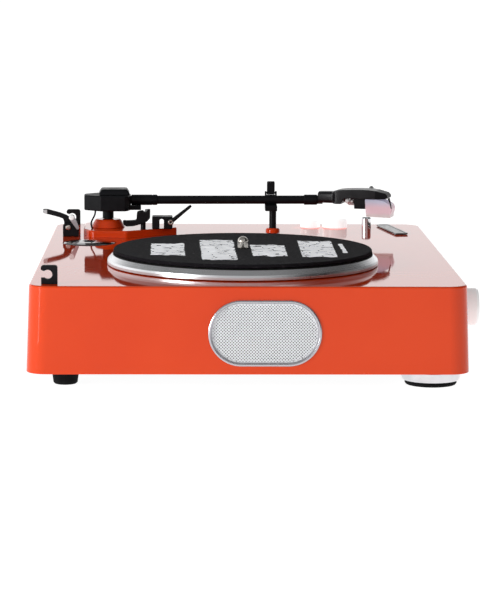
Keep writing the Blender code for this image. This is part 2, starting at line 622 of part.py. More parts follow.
def tonearm():
    swing = empty("tonearm_swing_axis", (*PIVOT_XY, 0), ARM_ANGLE)
    turned(
        "tonearm_yoke",
        ((0, 84.9 * MM), (4.15 * MM, 84.9 * MM), (4.15 * MM, TURRET_TOP_Z + GAP),
            (2.6 * MM, TURRET_TOP_Z + GAP),
         (2.6 * MM, 67.0 * MM), (0, 67.0 * MM)),
        "black_satin", swing, segments=SMALL_ROUND)
    yoke = bpy.data.objects["tonearm_yoke"]
    head = box("add_yoke_head", (-5.5 * MM, -5.0 * MM, 84.3 * MM), (5.5 * MM, 5.0 * MM, 91.0 * MM), None,
        swing)
    pin_hole = cylinder(
        "cut_yoke_pin", 1.5 * MM, (-12 * MM, 0, GIMBAL_Z), (12 * MM, 0, GIMBAL_Z), None, swing,
        segments=TINY_ROUND)
    boolean(yoke, head, "UNION")
    boolean(yoke, pin_hole)
    cylinder(
        "gimbal_pin", 1.2 * MM, (-14.6 * MM, 0, GIMBAL_Z), (14.6 * MM, 0, GIMBAL_Z), "steel", swing,
        segments=TINY_ROUND)

    lift = empty("tonearm_lift_axis", (0, 0, GIMBAL_Z), parent=swing)
    down = -GIMBAL_Z                       # pieces below are drawn with heights from the floor
    outline = (
        (5.5 * MM, 17.8 * MM), (-5.5 * MM, 17.8 * MM), (-15.5 * MM, 5.6 * MM), (-15.5 * MM, -12.6 * MM),
        (-13.0 * MM, -15.0 * MM), (-6.5 * MM, -17.0 * MM), (6.5 * MM, -17.0 * MM), (13.0 * MM, -15.0 * MM),
        (15.5 * MM, -12.6 * MM), (15.5 * MM, 5.6 * MM))
    low, high = 84.0 * MM, 95.4 * MM
    housing = plate(
        "arm_housing", outline, high - low, "black_satin", lift,
        Matrix.Translation((0, 0, (low + high) / 2 + down)))
    soften(housing, 0.9 * MM, 2, 50)
    tongue = box(
        "add_tongue", (-5 * MM, -24.6 * MM, 84.0 * MM + down), (5 * MM, -14 * MM, 86.8 * MM + down), None,
        lift)
    boolean(housing, tongue, "UNION")
    pocket = box(
        "cut_pocket", (-7.5 * MM, -10 * MM, 80 * MM + down), (7.5 * MM, 10 * MM, 92.6 * MM + down), None,
        lift)
    boolean(housing, pocket)
    boolean(housing, cylinder("cut_housing_pin", 1.5 * MM, (-20 * MM, 0, 0), (20 * MM, 0, 0), None, lift,
        TINY_ROUND))
    spigot = ARM_Z + down
    boolean(housing, cylinder(
        "cut_spigot", ARM_TUBE_RADIUS + GAP, (0, -11.3 * MM, spigot), (0, -20 * MM, spigot), None, lift,
        SMALL_ROUND))

    cap = box("arm_cap", (-10 * MM, -16.0 * MM, 95.7 * MM + down), (10 * MM, 6.6 * MM, 99.9 * MM + down),
              "black_satin", lift)
    for vert in cap.data.vertices:
        if vert.co.z > 97 * MM + down:
            vert.co.x *= 0.78
            vert.co.y = -14.0 * MM if vert.co.y < -5 * MM else 4.4 * MM
    soften(cap, 0.5 * MM)

    along = Matrix.Translation((0, 0, spigot)) @ Matrix.Rotation(math.radians(90), 4, "X")
    turned(
        "arm_tube",
        ((0, 161 * MM), (ARM_TUBE_RADIUS, 161 * MM), (ARM_TUBE_RADIUS, 156.9 * MM), (3.5 * MM, 156.9 * MM),
         (3.85 * MM, 156.5 * MM), (3.85 * MM, 147.4 * MM), (3.5 * MM, 147.0 * MM),
         (ARM_TUBE_RADIUS, 147.0 * MM),
         (ARM_TUBE_RADIUS, 36.9 * MM), (3.6 * MM, 36.8 * MM), (COLLAR_RADIUS, 36.2 * MM),
         (COLLAR_RADIUS, 17.5 * MM), (ARM_TUBE_RADIUS, 17.5 * MM), (ARM_TUBE_RADIUS, 11.6 * MM),
         (0, 11.6 * MM)),
        "black_satin", lift, segments=SMALL_ROUND, matrix=along)
    headshell(lift)


def headshell(lift):
    """Headshell, cartridge and guard, drawn along local -Y from the end of the front collar."""
    place = Matrix.Translation((0, -HEAD_START, ARM_Z - GIMBAL_Z)) @ Matrix.Rotation(HEAD_ANGLE, 4, "Z")
    head = empty("head_axis", (0, 0, 0), parent=lift)
    head.matrix_local = place
    down = -ARM_Z
    side = (
        (-1.0 * MM, 97.4 * MM + down), (-12 * MM, 97.8 * MM + down), (-15 * MM, 98.9 * MM + down),
        (-28 * MM, 100.1 * MM + down), (-41 * MM, 100.6 * MM + down), (-50 * MM, 99.2 * MM + down),
        (-57 * MM, 97.4 * MM + down), (-58.2 * MM, 95.6 * MM + down), (-50 * MM, 95.2 * MM + down),
        (-36 * MM, 94.6 * MM + down), (-23 * MM, 94.2 * MM + down), (-21.5 * MM, 89.4 * MM + down),
        (-1.0 * MM, 89.1 * MM + down))
    shell = side_plate("headshell", side, -8.5 * MM, 8.5 * MM, "black_satin", head)
    soften(shell, 0.5 * MM, 2, 35)
    for sx in (-1, 1):
        waist = box(
            f"cut_waist_{'left' if sx < 0 else 'right'}",
            (sx * 5.2 * MM if sx > 0 else -20 * MM, -12 * MM, 80 * MM + down),
            (20 * MM if sx > 0 else -5.2 * MM, 5 * MM, 110 * MM + down), None, head)
        boolean(shell, waist)
    socket_end = HEAD_START + 4.0 * MM
    boolean(shell, cylinder(
        "cut_head_socket", ARM_TUBE_RADIUS + GAP, (0, -HEAD_START + 2 * MM, ARM_Z - GIMBAL_Z),
        (0, -socket_end, ARM_Z - GIMBAL_Z), None, lift))
    box("cartridge", (-6.6 * MM, -37.0 * MM, 85.4 * MM + down), (6.6 * MM, -28.6 * MM, 94.0 * MM + down),
        "black_satin", head, bevel=0.5 * MM)
    nose = side_plate(
        "add_stylus_holder",
        ((-36 * MM, 92.5 * MM + down), (-46 * MM, 91.0 * MM + down), (-52 * MM, 83.6 * MM + down),
         (-51.6 * MM, 82.4 * MM + down), (-36 * MM, 86.6 * MM + down)), -2.4 * MM, 2.4 * MM, None, head)
    boolean(bpy.data.objects["cartridge"], nose, "UNION")

    guard_axis = empty("guard_axis", (0, -48 * MM, 87 * MM + down), parent=head)
    shift = 48 * MM
    drop = -87 * MM
    profile = (
        (-37.6 * MM + shift, 93.4 * MM + drop), (-46 * MM + shift, 93.6 * MM + drop),
        (-52 * MM + shift, 92.6 * MM + drop), (-57.4 * MM + shift, 90.0 * MM + drop),
        (-58.6 * MM + shift, 86.5 * MM + drop), (-57.6 * MM + shift, 83.0 * MM + drop),
        (-57.2 * MM + shift, 80.0 * MM + drop), (-38.8 * MM + shift, 80.4 * MM + drop))
    guard = side_plate("stylus_guard", profile, -6.2 * MM, 6.2 * MM, "guard_pink", guard_axis)
    soften(guard, 0.5 * MM, 2, 30)
    hollow = box(
        "cut_guard", (-5.2 * MM, -8.2 * MM, 81.4 * MM + drop), (5.2 * MM, 14 * MM, 99 * MM + drop),
        None, guard_axis)
    boolean(guard, hollow)


def arm_rest():
    x0, y0 = REST_XY
    place = Matrix.Translation((x0, y0, 0))
    turned(
        "arm_rest_ring",
        ((2.95 * MM, 70.0 * MM), (4.5 * MM, 70.0 * MM), (5.3 * MM, 69.2 * MM), (5.3 * MM, DECK_Z + GAP),
         (2.95 * MM, DECK_Z + GAP)),
        "orange_gloss", segments=SMALL_ROUND, matrix=place)
    floor_y = (-28.1 * MM, -19.1 * MM)
    post = upright("arm_rest_post", 2.65 * MM, REST_XY, DECK_Z + GAP, 84 * MM, "black_satin",
        segments=SMALL_ROUND)
    cradle_outline = (
        (107.2 * MM, 83.2 * MM), (121.4 * MM, 83.2 * MM), (121.4 * MM, 96.2 * MM), (120.7 * MM, 97.2 * MM),
        (118.5 * MM, 97.2 * MM), (117.9 * MM, 96.2 * MM), (117.9 * MM, 87.0 * MM), (116.8 * MM, 85.4 * MM),
        (111.2 * MM, 85.4 * MM), (110.2 * MM, 87.5 * MM), (107.2 * MM, 87.5 * MM))
    upright_xz = Matrix(((1, 0, 0, 0), (0, 0, -1, sum(floor_y) / 2), (0, 1, 0, 0), (0, 0, 0, 1)))
    cradle = plate("add_cradle", cradle_outline, floor_y[1] - floor_y[0], None, matrix=upright_xz)
    boolean(post, cradle, "UNION")
    mid_y = sum(floor_y) / 2
    boolean(post, box(
        "cut_clip_slot", (110 * MM, mid_y - 3.3 * MM, 94.4 * MM), (125 * MM, mid_y + 3.3 * MM, 100 * MM),
        None))
    pin_x, pin_z = REST_CLIP_PIVOT
    boolean(post, cylinder(
        "cut_clip_pin", 1.0 * MM, (pin_x, floor_y[0] - MM, pin_z), (pin_x, floor_y[1] + MM, pin_z), None,
        segments=TINY_ROUND))
    axis = empty("arm_rest_clip_axis", (pin_x, mid_y, pin_z))
    clip = cylinder("arm_rest_clip", 0.7 * MM, (0, -4.3 * MM, 0), (0, 4.3 * MM, 0), "black_satin", axis,
        TINY_ROUND)
    tab = box("add_clip_tab", (-0.9 * MM, -2.95 * MM, -1.2 * MM), (0.9 * MM, 2.95 * MM, 8.7 * MM), None, axis,
              bevel=0.4 * MM)
    boolean(clip, tab, "UNION")


def cueing():
    x_from, x_to = CUE_BRACKET_X
    bracket = box(
        "cue_bracket", (x_from, 50.2 * MM, ARM_BASE_TOP_Z + GAP), (x_to, 65.4 * MM, 80.6 * MM), "black_satin",
        bevel=0.5 * MM)
    slot_width = 3.3 * MM
    slot_y = 58.3 * MM
    slot = box(
        "cut_slot", (x_from - 5 * MM, slot_y - slot_width / 2, 60 * MM),
        (x_to + 5 * MM, slot_y + slot_width / 2, 77.4 * MM), None)
    crown = cylinder(
        "cut_slot_crown", slot_width / 2, (x_from - 5 * MM, slot_y, 77.4 * MM),
        (x_to + 5 * MM, slot_y, 77.4 * MM), None, segments=TINY_ROUND)
    boolean(bracket, slot)
    boolean(bracket, crown)

    lever_axis = empty("cue_lever_axis", CUE_LEVER_PIVOT)
    lever = cylinder("cue_lever", 2.3 * MM, (-1.3 * MM, 0, 0), (1.3 * MM, 0, 0), "black_satin", lever_axis,
        SMALL_ROUND)
    tip = Vector((0, 36.6 * MM, 89.0 * MM)) - Vector((0, CUE_LEVER_PIVOT[1], CUE_LEVER_PIVOT[2]))
    rod = cylinder("add_lever_rod", 1.0 * MM, (0, 0, 0), tip, None, lever_axis, TINY_ROUND)
    boolean(lever, rod, "UNION")

    saddle = (
        (76.6 * MM, 84.3 * MM), (76.9 * MM, 78.0 * MM), (84.4 * MM, 77.6 * MM), (87.2 * MM, 78.0 * MM),
        (86.6 * MM, 74.8 * MM), (84.5 * MM, 73.4 * MM), (79.5 * MM, 73.6 * MM), (73.2 * MM, 75.2 * MM),
        (69.0 * MM, 77.2 * MM), (66.8 * MM, 79.6 * MM), (66.8 * MM, 86.2 * MM))
    lift = side_plate("cue_lift", saddle, *CUE_LIFT_X, "black_satin")
    soften(lift, 0.5 * MM, 2, 30)
    boolean(lift, upright("add_lift_stem", 1.9 * MM, CUE_STEM_XY, 67.5 * MM, 78 * MM, segments=TINY_ROUND),
            "UNION")
    boolean(lift, box(
        "add_lift_bar", (CUE_LIFT_X[0] + MM, 66.9 * MM, 81.6 * MM), (CUE_BAR_END_X, 71.0 * MM, 84.2 * MM),
        None),
        "UNION")


# ======================================================================================
# controls
# ======================================================================================
def controls():
    knob_x, knob_z = FRONT_KNOB_XZ
    face = -FRONT_KNOB_FACE_Y
    radius = FRONT_KNOB_RADIUS
    towards_front = Matrix.Rotation(math.radians(90), 4, "X")
    knob_axis = empty("front_knob_axis", (knob_x, 0, knob_z))
    turned(
        "front_knob",
        ((0, face), (radius - 1.6 * MM, face - 0.1 * MM), (radius - 0.5 * MM, face - 0.6 * MM),
         (radius, face - 1.6 * MM), (radius, 142.6 * MM), (radius - 0.5 * MM, 142.1 * MM),
         (3.2 * MM, 142.1 * MM),
         (3.2 * MM, 133.0 * MM), (0, 133.0 * MM)),
        "knob_white", knob_axis, segments=MEDIUM_ROUND, matrix=towards_front)
    pot = box(
        "volume_pot", (knob_x - 8 * MM, -137.4 * MM, knob_z - 9 * MM),
        (knob_x + 8 * MM, -125 * MM, knob_z + 9 * MM),
        "steel", bevel=0.5 * MM)
    boolean(pot, cylinder(
        "cut_pot", 3.6 * MM, (knob_x, -150 * MM, knob_z), (knob_x, -132 * MM, knob_z), None,
        segments=SMALL_ROUND))

    for name, place, top, radius in (
            ("selector_small", SELECTOR_SMALL_XY, 71.9 * MM, 7.4 * MM),
            ("selector_large", SELECTOR_LARGE_XY, 73.9 * MM, 9.4 * MM)):
        axis = empty(f"{name}_axis", (*place, 0))
        turned(
            name,
            ((0, top), (radius - 1.5 * MM, top - 0.2 * MM), (radius - 0.4 * MM, top - 0.9 * MM),
             (radius, top - 1.9 * MM), (radius, DECK_Z + 0.7 * MM), (radius - 0.3 * MM, DECK_Z + 0.4 * MM),
             (2.5 * MM, DECK_Z + 0.4 * MM), (2.5 * MM, 58.2 * MM), (0, 58.2 * MM)),
            "knob_white", axis, segments=MEDIUM_ROUND)
    axis = empty("power_button_axis", (*POWER_BUTTON_XY, 0))
    turned(
        "power_button",
        ((0, 74.8 * MM), (2.9 * MM, 74.7 * MM), (3.6 * MM, 74.0 * MM), (3.6 * MM, 60.8 * MM), (0, 60.8 * MM)),
        "chrome", axis, segments=SMALL_ROUND)
    board = box(
        "control_board", (138 * MM, -112 * MM, 50.0 * MM), (163 * MM, -42 * MM, 51.6 * MM), "board_green")
    for name, place in (("small", SELECTOR_SMALL_XY), ("large", SELECTOR_LARGE_XY),
        ("power", POWER_BUTTON_XY)):
        x, y = place
        switch = box(f"add_switch_{name}", (x - 6 * MM, y - 6 * MM, 51 * MM),
            (x + 6 * MM, y + 6 * MM, 57.8 * MM),
                     None)
        boolean(board, switch, "UNION")
    main_board = box(
        "circuit_board", (30 * MM, 10 * MM, 20 * MM), (120 * MM, 78 * MM, 21.6 * MM), "board_green")
    for index, (x, y, size, height) in enumerate(((48, 60, 12, 14), (70, 60, 10, 12), (95, 30, 16, 8))):
        lump = box(
            f"add_component_{index}", ((x - size / 2) * MM, (y - size / 2) * MM, 21 * MM),
            ((x + size / 2) * MM, (y + size / 2) * MM, (21 + height) * MM), None)
        boolean(main_board, lump, "UNION")


def trim():
    place = Matrix.Translation((*BADGE_CENTRE, DECK_Z + GAP + 0.6 * MM)) @ Matrix.Rotation(BADGE_ANGLE, 4,
        "Z")
    corners = ((-29 * MM, -5 * MM), (29 * MM, -5 * MM), (29 * MM, 5 * MM), (-29 * MM, 5 * MM))
    plate("badge_plate", rounded_outline(corners, 1.5 * MM, 3), 1.2 * MM, "badge_metal", matrix=place,
          bevel=0.25 * MM)
    axis = empty("adapter_axis", (*ADAPTER_XY, 0))
    floor = DECK_Z - 4.0 * MM + GAP
    turned(
        "adapter_45",
        ((3.75 * MM, DECK_Z + 0.9 * MM), (6.0 * MM, DECK_Z + 1.2 * MM), (11.0 * MM, DECK_Z + 1.1 * MM),
         (16.5 * MM, DECK_Z + 0.6 * MM), (18.4 * MM, DECK_Z + 0.1 * MM), (ADAPTER_RADIUS, DECK_Z - 0.6 * MM),
         (ADAPTER_RADIUS, floor + 0.4 * MM), (ADAPTER_RADIUS - 0.4 * MM, floor), (3.75 * MM, floor)),
        "gunmetal", axis, segments=MEDIUM_ROUND)


# ======================================================================================
# lid hardware
# ======================================================================================
def hinge_clip_outline():
    """C clip in the YZ plane: the notch opens to the back."""
    front, back = HINGE_CLIP_Y
    low, top = DECK_Z + GAP, HINGE_CLIP_TOP_Z
    centre = (127.9 * MM, 72.3 * MM)
    notch = 2.95 * MM
    mouth = 2.2 * MM
    open_angle = math.degrees(math.asin(mouth / notch))
    tip = 2.2 * MM
    outline = [(back - 0.2 * MM, low), (back - 0.2 * MM, centre[1] - mouth)]
    outline += list(reversed(arc(centre, notch, open_angle, 360 - open_angle, 18)))
    outline += [(back - tip + 0.6 * MM, centre[1] + mouth)]
    outline += arc((back - 1.9 * MM, top - 1.9 * MM), 1.9 * MM, -40, 90, 6)
    outline += arc((front + 1.8 * MM, top - 1.8 * MM), 1.8 * MM, 90, 180, 5)
    outline += [(front, low)]
    return outline


def lid_hardware():
    for side, sx in (("left", -1), ("right", 1)):
        middle = sx * HINGE_CLIP_X
        side_plate(f"lid_hinge_clip_{side}", hinge_clip_outline(), middle - 1.6 * MM, middle + 1.6 * MM,
                   "black_satin")

    low = DECK_Z + GAP
    bracket_outline = (
        (119.6 * MM, low), (131.3 * MM, low), (131.3 * MM, 74.2 * MM), (130.0 * MM, 75.8 * MM),
        (124.6 * MM, 75.8 * MM), (119.6 * MM, 72.6 * MM))
    bracket = side_plate("lid_stay_bracket", bracket_outline, STAY_X - 4 * MM, STAY_X + 4 * MM, "black_satin")
    slot = box("cut_stay_slot", (STAY_X - 1.6 * MM, 110 * MM, 68.6 * MM),
        (STAY_X + 1.6 * MM, 140 * MM, 80 * MM),
               None)
    boolean(bracket, slot)
    px, py, pz = STAY_PIVOT
    boolean(bracket, cylinder(
        "cut_stay_pin", 1.5 * MM, (px - 10 * MM, py, pz), (px + 10 * MM, py, pz), None, segments=TINY_ROUND))

    axis = empty("lid_stay_axis", STAY_PIVOT)
    frame_back = (
        (-1.6, -2.6), (1.6, -2.6), (2.9, -0.6), (2.9, 4.6), (4.2, 7.4), (8.4, 9.2),
        (18.6, 11.2), (18.6, 13.3), (8.0, 12.4), (1.6, 9.9), (-1.2, 7.2), (-2.7, 1.4), (-2.7, -1.0))
    arm_outline = [(y * MM, z * MM) for y, z in frame_back]
    arm = side_plate("lid_stay_arm", arm_outline, -1.2 * MM, 1.2 * MM, "black_satin", axis)
    boolean(arm, cylinder("cut_stay_eye", 1.5 * MM, (-5 * MM, 0, 0), (5 * MM, 0, 0), None, axis, TINY_ROUND))
    pin = cylinder("lid_stay_pin", 1.2 * MM, (-4.4 * MM, 0, 0), (4.4 * MM, 0, 0), "steel", axis, TINY_ROUND)
    head = cylinder("add_pin_head", 1.9 * MM, (-5.0 * MM, 0, 0), (-4.3 * MM, 0, 0), None, axis, SMALL_ROUND)
    boolean(pin, head, "UNION")
    link_start = (-2.7 * MM, 7.6 * MM)
    link_end = (-7.0 * MM, -0.2 * MM)
    lean = math.degrees(math.atan2(link_end[1] - link_start[1], link_end[0] - link_start[0]))
    link_outline = (arc(link_start, 2.2 * MM, lean + 70, lean + 290, 12)
                    + arc(link_end, 1.1 * MM, lean - 80, lean + 80, 8))
    link = side_plate("lid_stay_link", link_outline, -6.4 * MM, -5.3 * MM, "steel", axis)
    boolean(link, cylinder(
        "add_link_bush", 2.1 * MM, (-6.0 * MM, *link_start), (-1.5 * MM, *link_start), None, axis), "UNION")


cabinet_shell()
base_plate()
feet()
speakers()
rear_sockets()
drive()
tonearm_base()
tonearm()
arm_rest()
cueing()
controls()
trim()
lid_hardware()
bpy.context.view_layer.update()
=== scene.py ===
"""Looks of the compact record player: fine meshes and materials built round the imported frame.

Shapes are drawn in millimetres and turned into metres when a piece is made.  Places come
from the frame's nodes and joints.  X runs to the right of the player, Y to its back, Z up.
"""
import json
import math

import bmesh
import bpy
from mathutils import Matrix, Vector
from mathutils.geometry import delaunay_2d_cdt


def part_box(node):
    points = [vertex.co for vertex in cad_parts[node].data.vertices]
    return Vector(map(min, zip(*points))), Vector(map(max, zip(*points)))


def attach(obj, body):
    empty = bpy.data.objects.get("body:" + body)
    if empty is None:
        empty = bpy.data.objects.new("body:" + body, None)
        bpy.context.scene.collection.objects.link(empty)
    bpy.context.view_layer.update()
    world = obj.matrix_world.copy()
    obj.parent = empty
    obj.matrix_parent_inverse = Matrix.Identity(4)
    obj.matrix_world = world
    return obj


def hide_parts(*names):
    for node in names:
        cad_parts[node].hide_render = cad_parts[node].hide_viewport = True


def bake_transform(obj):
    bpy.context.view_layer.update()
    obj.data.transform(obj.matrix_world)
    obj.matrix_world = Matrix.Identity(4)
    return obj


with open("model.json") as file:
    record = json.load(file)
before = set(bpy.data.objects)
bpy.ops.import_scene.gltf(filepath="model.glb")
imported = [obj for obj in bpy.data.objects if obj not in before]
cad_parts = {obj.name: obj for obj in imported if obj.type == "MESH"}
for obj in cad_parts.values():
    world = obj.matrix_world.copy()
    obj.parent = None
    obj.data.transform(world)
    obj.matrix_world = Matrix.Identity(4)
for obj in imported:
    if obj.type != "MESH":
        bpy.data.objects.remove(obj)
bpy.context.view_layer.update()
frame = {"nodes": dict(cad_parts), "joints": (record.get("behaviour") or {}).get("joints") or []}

MM = 0.001
JOINTS = {joint["name"]: joint for joint in frame["joints"]}

# ---- camera: a long lens at the left side of the player ----------------------------------
CAMERA_PLACE = (-1.6834, 0.0388, 0.2788)  # metres
CAMERA_YAW = math.radians(1.499)  # towards the front
CAMERA_TILT = math.radians(8.346)  # downwards
CAMERA_ROLL = math.radians(0.314)
CAMERA_LENS = 144.26  # mm on a 36 mm sensor
FAR_GLOW = 1.32  # brightness low down behind the player
FLOOR_GLOW = 0.95
FLOOR_REACH = 40000  # mm from its middle to an edge
SHADE_EDGE = (-0.072, -0.052)  # metres outside the case over which the painted floor shadow fades: shaded, then lit
# name, place, target, size in metres, watts
SOFTBOXES = (
    ("key", (-0.95, 1.35, 0.34), (0, 0, 0.05), (0.5, 0.5), 4.6),
    ("fill", (-1.4, -1.1, 1.4), (0, 0, 0.05), (0.7, 0.7), 0.5),
    ("strip", (-0.355, 0.37, 0.12), (-0.165, 0.14, 0.05), (0.012, 0.24), 0.05))

# ---- shape constants in millimetres --------------------------------------------------------
DRAFT = math.radians(2.0)
CORNER_RADIUS = 13.0
DECK_EDGE = 1.2
WALL = 2.6
DECK_THICKNESS = 3.0
GRILLE_HOLE = 0.44  # radius
GRILLE_STEP = 1.0  # half the pitch along a row
ARM_Z = 91.2
GIMBAL_Z = 88.3
HEAD_START = 157.5
HEAD_TURN = math.radians(-20)

FINE = 128  # sides of a large round piece
ROUND = 64
SMALL = 32
LARGE_FACE = 4e-4  # square metres; a face this large is a true flat
SMALL_FACE = 2.5e-5  # the same for a face of many corners
TOUCH = 0.03  # gap left between pieces that rest on each other
SPEAKER_Z = 36.1  # height of the speakers' middle
SOCKET_Z = 36.0
SOCKETS = (("dc_inlet", 4.2), ("rca_jack_left", 4.15), ("rca_jack_right", 4.15))  # node, radius


# ---- frames and places
def box_mm(node):
    low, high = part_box(node)
    return low / MM, high / MM


def round_box(node):
    """A round node's radius, lowest and highest point."""
    low, high = box_mm(node)
    return (high.x - low.x) / 2, low.z, high.z


def middle(node):
    low, high = box_mm(node)
    return (low + high) / 2


def at(x=0.0, y=0.0, z=0.0):
    """A place given in millimetres."""
    return Matrix.Translation(Vector((x, y, z)) * MM)


def upright(node):
    """The upright axis through a node's middle."""
    return at(middle(node).x, middle(node).y)


def turn(degrees, axis="Z"):
    return Matrix.Rotation(math.radians(degrees), 4, axis)


# a drawing in local x, y stands up in the YZ or the XZ plane, its thickness along X or -Y
SIDE = Matrix(((0, 0, 1, 0), (1, 0, 0, 0), (0, 1, 0, 0), (0, 0, 0, 1)))
FRONT = Matrix(((1, 0, 0, 0), (0, 0, -1, 0), (0, 1, 0, 0), (0, 0, 0, 1)))

SHELL_LOW, SHELL_HIGH = box_mm("cabinet_shell")
DECK_Z = SHELL_HIGH.z
CASE_BOTTOM = SHELL_LOW.z
FLARE = (DECK_Z - CASE_BOTTOM) * math.tan(DRAFT)
CASE_X = SHELL_HIGH.x - FLARE  # half width at the deck
CASE_Y = SHELL_HIGH.y - FLARE


def face_frame(side, along, height):
    """Frame on a leaning side face: local z points out and local y up the face."""
    out_x, out_y = {"left": (-1, 0), "right": (1, 0), "front": (0, -1), "back": (0, 1)}[side]
    reach = (CASE_X if out_x else CASE_Y) + (DECK_Z - height) * math.tan(DRAFT)
    origin = (out_x * reach, along, height) if out_x else (along, out_y * reach, height)
    lean, rise = math.cos(DRAFT), math.sin(DRAFT)
    normal = Vector((out_x * lean, out_y * lean, rise))
    upward = Vector((-out_x * rise, -out_y * rise, lean))
    return at(*origin) @ Matrix((upward.cross(normal), upward, normal)).transposed().to_4x4()


# ---- outlines and meshes, in millimetres
def arc(centre, radius, start, end, count):
    angles = [math.radians(start + (end - start) * step / count) for step in range(count + 1)]
    return [(centre[0] + radius * math.cos(a), centre[1] + radius * math.sin(a)) for a in angles]


def stadium(width, height, count=24):
    radius = height / 2
    reach = width / 2 - radius
    return arc((reach, 0), radius, -90, 90, count) + arc((-reach, 0), radius, 90, 270, count)


def eased(points, radius, closed=True, count=3):
    """A polygon or an open line with rounded corners; a point's own third number wins."""
    made = []
    total = len(points)
    for index, point in enumerate(points):
        here = Vector(point[:2])
        own = point[2] if len(point) > 2 else radius
        back = Vector(points[index - 1][:2]) - here
        ahead = Vector(points[(index + 1) % total][:2]) - here
        half = back.angle(ahead) / 2
        end = not closed and index in (0, total - 1)
        if end or own <= 0 or half > math.radians(88):
            made.append(tuple(here))
            continue
        reach = min(own / math.tan(half), 0.45 * back.length, 0.45 * ahead.length)
        centre = here + (back.normalized() + ahead.normalized()).normalized() * (reach / math.cos(half))
        first = here + back.normalized() * reach - centre
        sweep = first.angle_signed(here + ahead.normalized() * reach - centre)
        for step in range(count + 1):
            made.append(tuple(centre + Matrix.Rotation(-sweep * step / count, 2) @ first))
    return made


def inset(outline, distance):
    """An anticlockwise outline moved inwards by a small distance."""
    moved = []
    for index, point in enumerate(outline):
        here = Vector(point)
        back = (here - Vector(outline[index - 1])).normalized()
        ahead = (Vector(outline[(index + 1) % len(outline)]) - here).normalized()
        normal = Vector((-back.y - ahead.y, back.x + ahead.x))
        moved.append(tuple(here + normal * (distance / max(normal.length_squared / 2, 0.4))))
    return moved


def loft(loops, closed=False):
    """Faces between loops of equally many 3D points; closed joins the last loop to the first."""
    work = bmesh.new()
    rows = [[work.verts.new(point) for point in loop] for loop in loops]
    pairs = list(zip(rows, rows[1:])) + ([(rows[-1], rows[0])] if closed else [])
    for near, far in pairs:
        for index in range(len(near)):
            after = (index + 1) % len(near)
            work.faces.new((near[index], near[after], far[after], far[index]))
    if not closed:
        work.faces.new(list(reversed(rows[0])))
        work.faces.new(rows[-1])
    return work


def prism(outline, low, high, edge=0.0, steps=3, sharp_foot=False):
    """An outline given a thickness, with rounded edges at both ends or only at the high one."""
    area = sum(a[0] * b[1] - b[0] * a[1] for a, b in zip(outline, outline[1:] + outline[:1]))
    outline = outline if area > 0 else outline[::-1]
    loops = []
    rounds = [math.pi / 2 * step / steps for step in range(steps + 1)] if edge else [math.pi / 2]
    for angle in rounds[-1:] if sharp_foot else rounds:
        ring = inset(outline, edge * (1 - math.sin(angle))) if edge else outline
        rise = 0 if sharp_foot else edge * (1 - math.cos(angle))
        loops.append([(x, y, low + rise) for x, y in ring])
    for angle in reversed(rounds):
        ring = inset(outline, edge * (1 - math.sin(angle))) if edge else outline
        loops.append([(x, y, high - edge * (1 - math.cos(angle))) for x, y in ring])
    return loft(loops)


def lathe(profile, segments=ROUND, ease=0.0):
    """A turned piece from (radius, height) points; a profile off the axis is closed."""
    solid = profile[0][0] <= 0
    line = eased(profile, ease, closed=not solid) if ease else [point[:2] for point in profile]
    work = bmesh.new()
    rows = []
    for radius, height in line:
        if radius <= 1e-6:
            rows.append([work.verts.new((0, 0, height))])
            continue
        angles = [2 * math.pi * step / segments for step in range(segments)]
        rows.append([work.verts.new((radius * math.cos(a), radius * math.sin(a), height)) for a in angles])
    pairs = list(zip(rows, rows[1:])) + ([] if solid else [(rows[-1], rows[0])])
    for near, far in pairs:
        for index in range(segments):
            after = (index + 1) % segments
            corners = [near[index % len(near)], near[after % len(near)], far[after % len(far)],
                       far[index % len(far)]]
            work.faces.new(list(dict.fromkeys(corners)))
    return work


def block(low, high, edge=0.3, steps=3):
    work = bmesh.new()
    bmesh.ops.create_cube(work, size=1.0)
    low, high = Vector(low), Vector(high)
    bmesh.ops.scale(work, vec=high - low, verts=work.verts)
    bmesh.ops.translate(work, vec=(low + high) / 2, verts=work.verts)
    if edge:
        bmesh.ops.bevel(work, geom=work.edges[:], offset=edge, segments=steps, profile=0.5, affect="EDGES")
    return work


def rod(points, radii, sides=24):
    """A round rod through 3D points, its radius given at each, with slightly rounded ends."""
    points = [Vector(point) for point in points]
    radii = radii if hasattr(radii, "__len__") else [radii] * len(points)
    loops = []
    side = (points[1] - points[0]).orthogonal().normalized()
    for index, point in enumerate(points):
        ahead = (points[min(index + 1, len(points) - 1)] - points[max(index - 1, 0)]).normalized()
        side = (side - ahead * side.dot(ahead)).normalized()
        other = ahead.cross(side)
        angles = [2 * math.pi * step / sides for step in range(sides)]
        loops.append([point + (side * math.cos(a) + other * math.sin(a)) * radii[index] for a in angles])
        if index in (0, len(points) - 1):
            back = ahead * radii[index] * (-0.35 if index == 0 else 0.35)
            tip = [point + back + (vert - point) * 0.72 for vert in loops[-1]]
            loops.insert(0 if index == 0 else len(loops), tip)
    return loft(loops)


def smooth_line(points, count=6):
    """A Catmull-Rom curve through 3D points."""
    points = [Vector(point) for point in points]
    ends = [points[0] * 2 - points[1], *points, points[-1] * 2 - points[-2]]
    made = []
    for a, b, c, d in zip(ends, ends[1:], ends[2:], ends[3:]):
        for step in range(count):
            t = step / count
            made.append(0.5 * (2 * b + (c - a) * t + (2 * a - 5 * b + 4 * c - d) * t * t
                               + (3 * b - a - 3 * c + d) * t ** 3))
    return made + [points[-1]]


# ---- pieces
def raw_object(name, work, place):
    bmesh.ops.scale(work, vec=(MM, MM, MM), verts=work.verts)
    bmesh.ops.recalc_face_normals(work, faces=work.faces)
    mesh = bpy.data.meshes.new(name)
    work.to_mesh(mesh)
    work.free()
    item = bpy.data.objects.new(name, mesh)
    bpy.context.scene.collection.objects.link(item)
    item.matrix_world = place
    return item


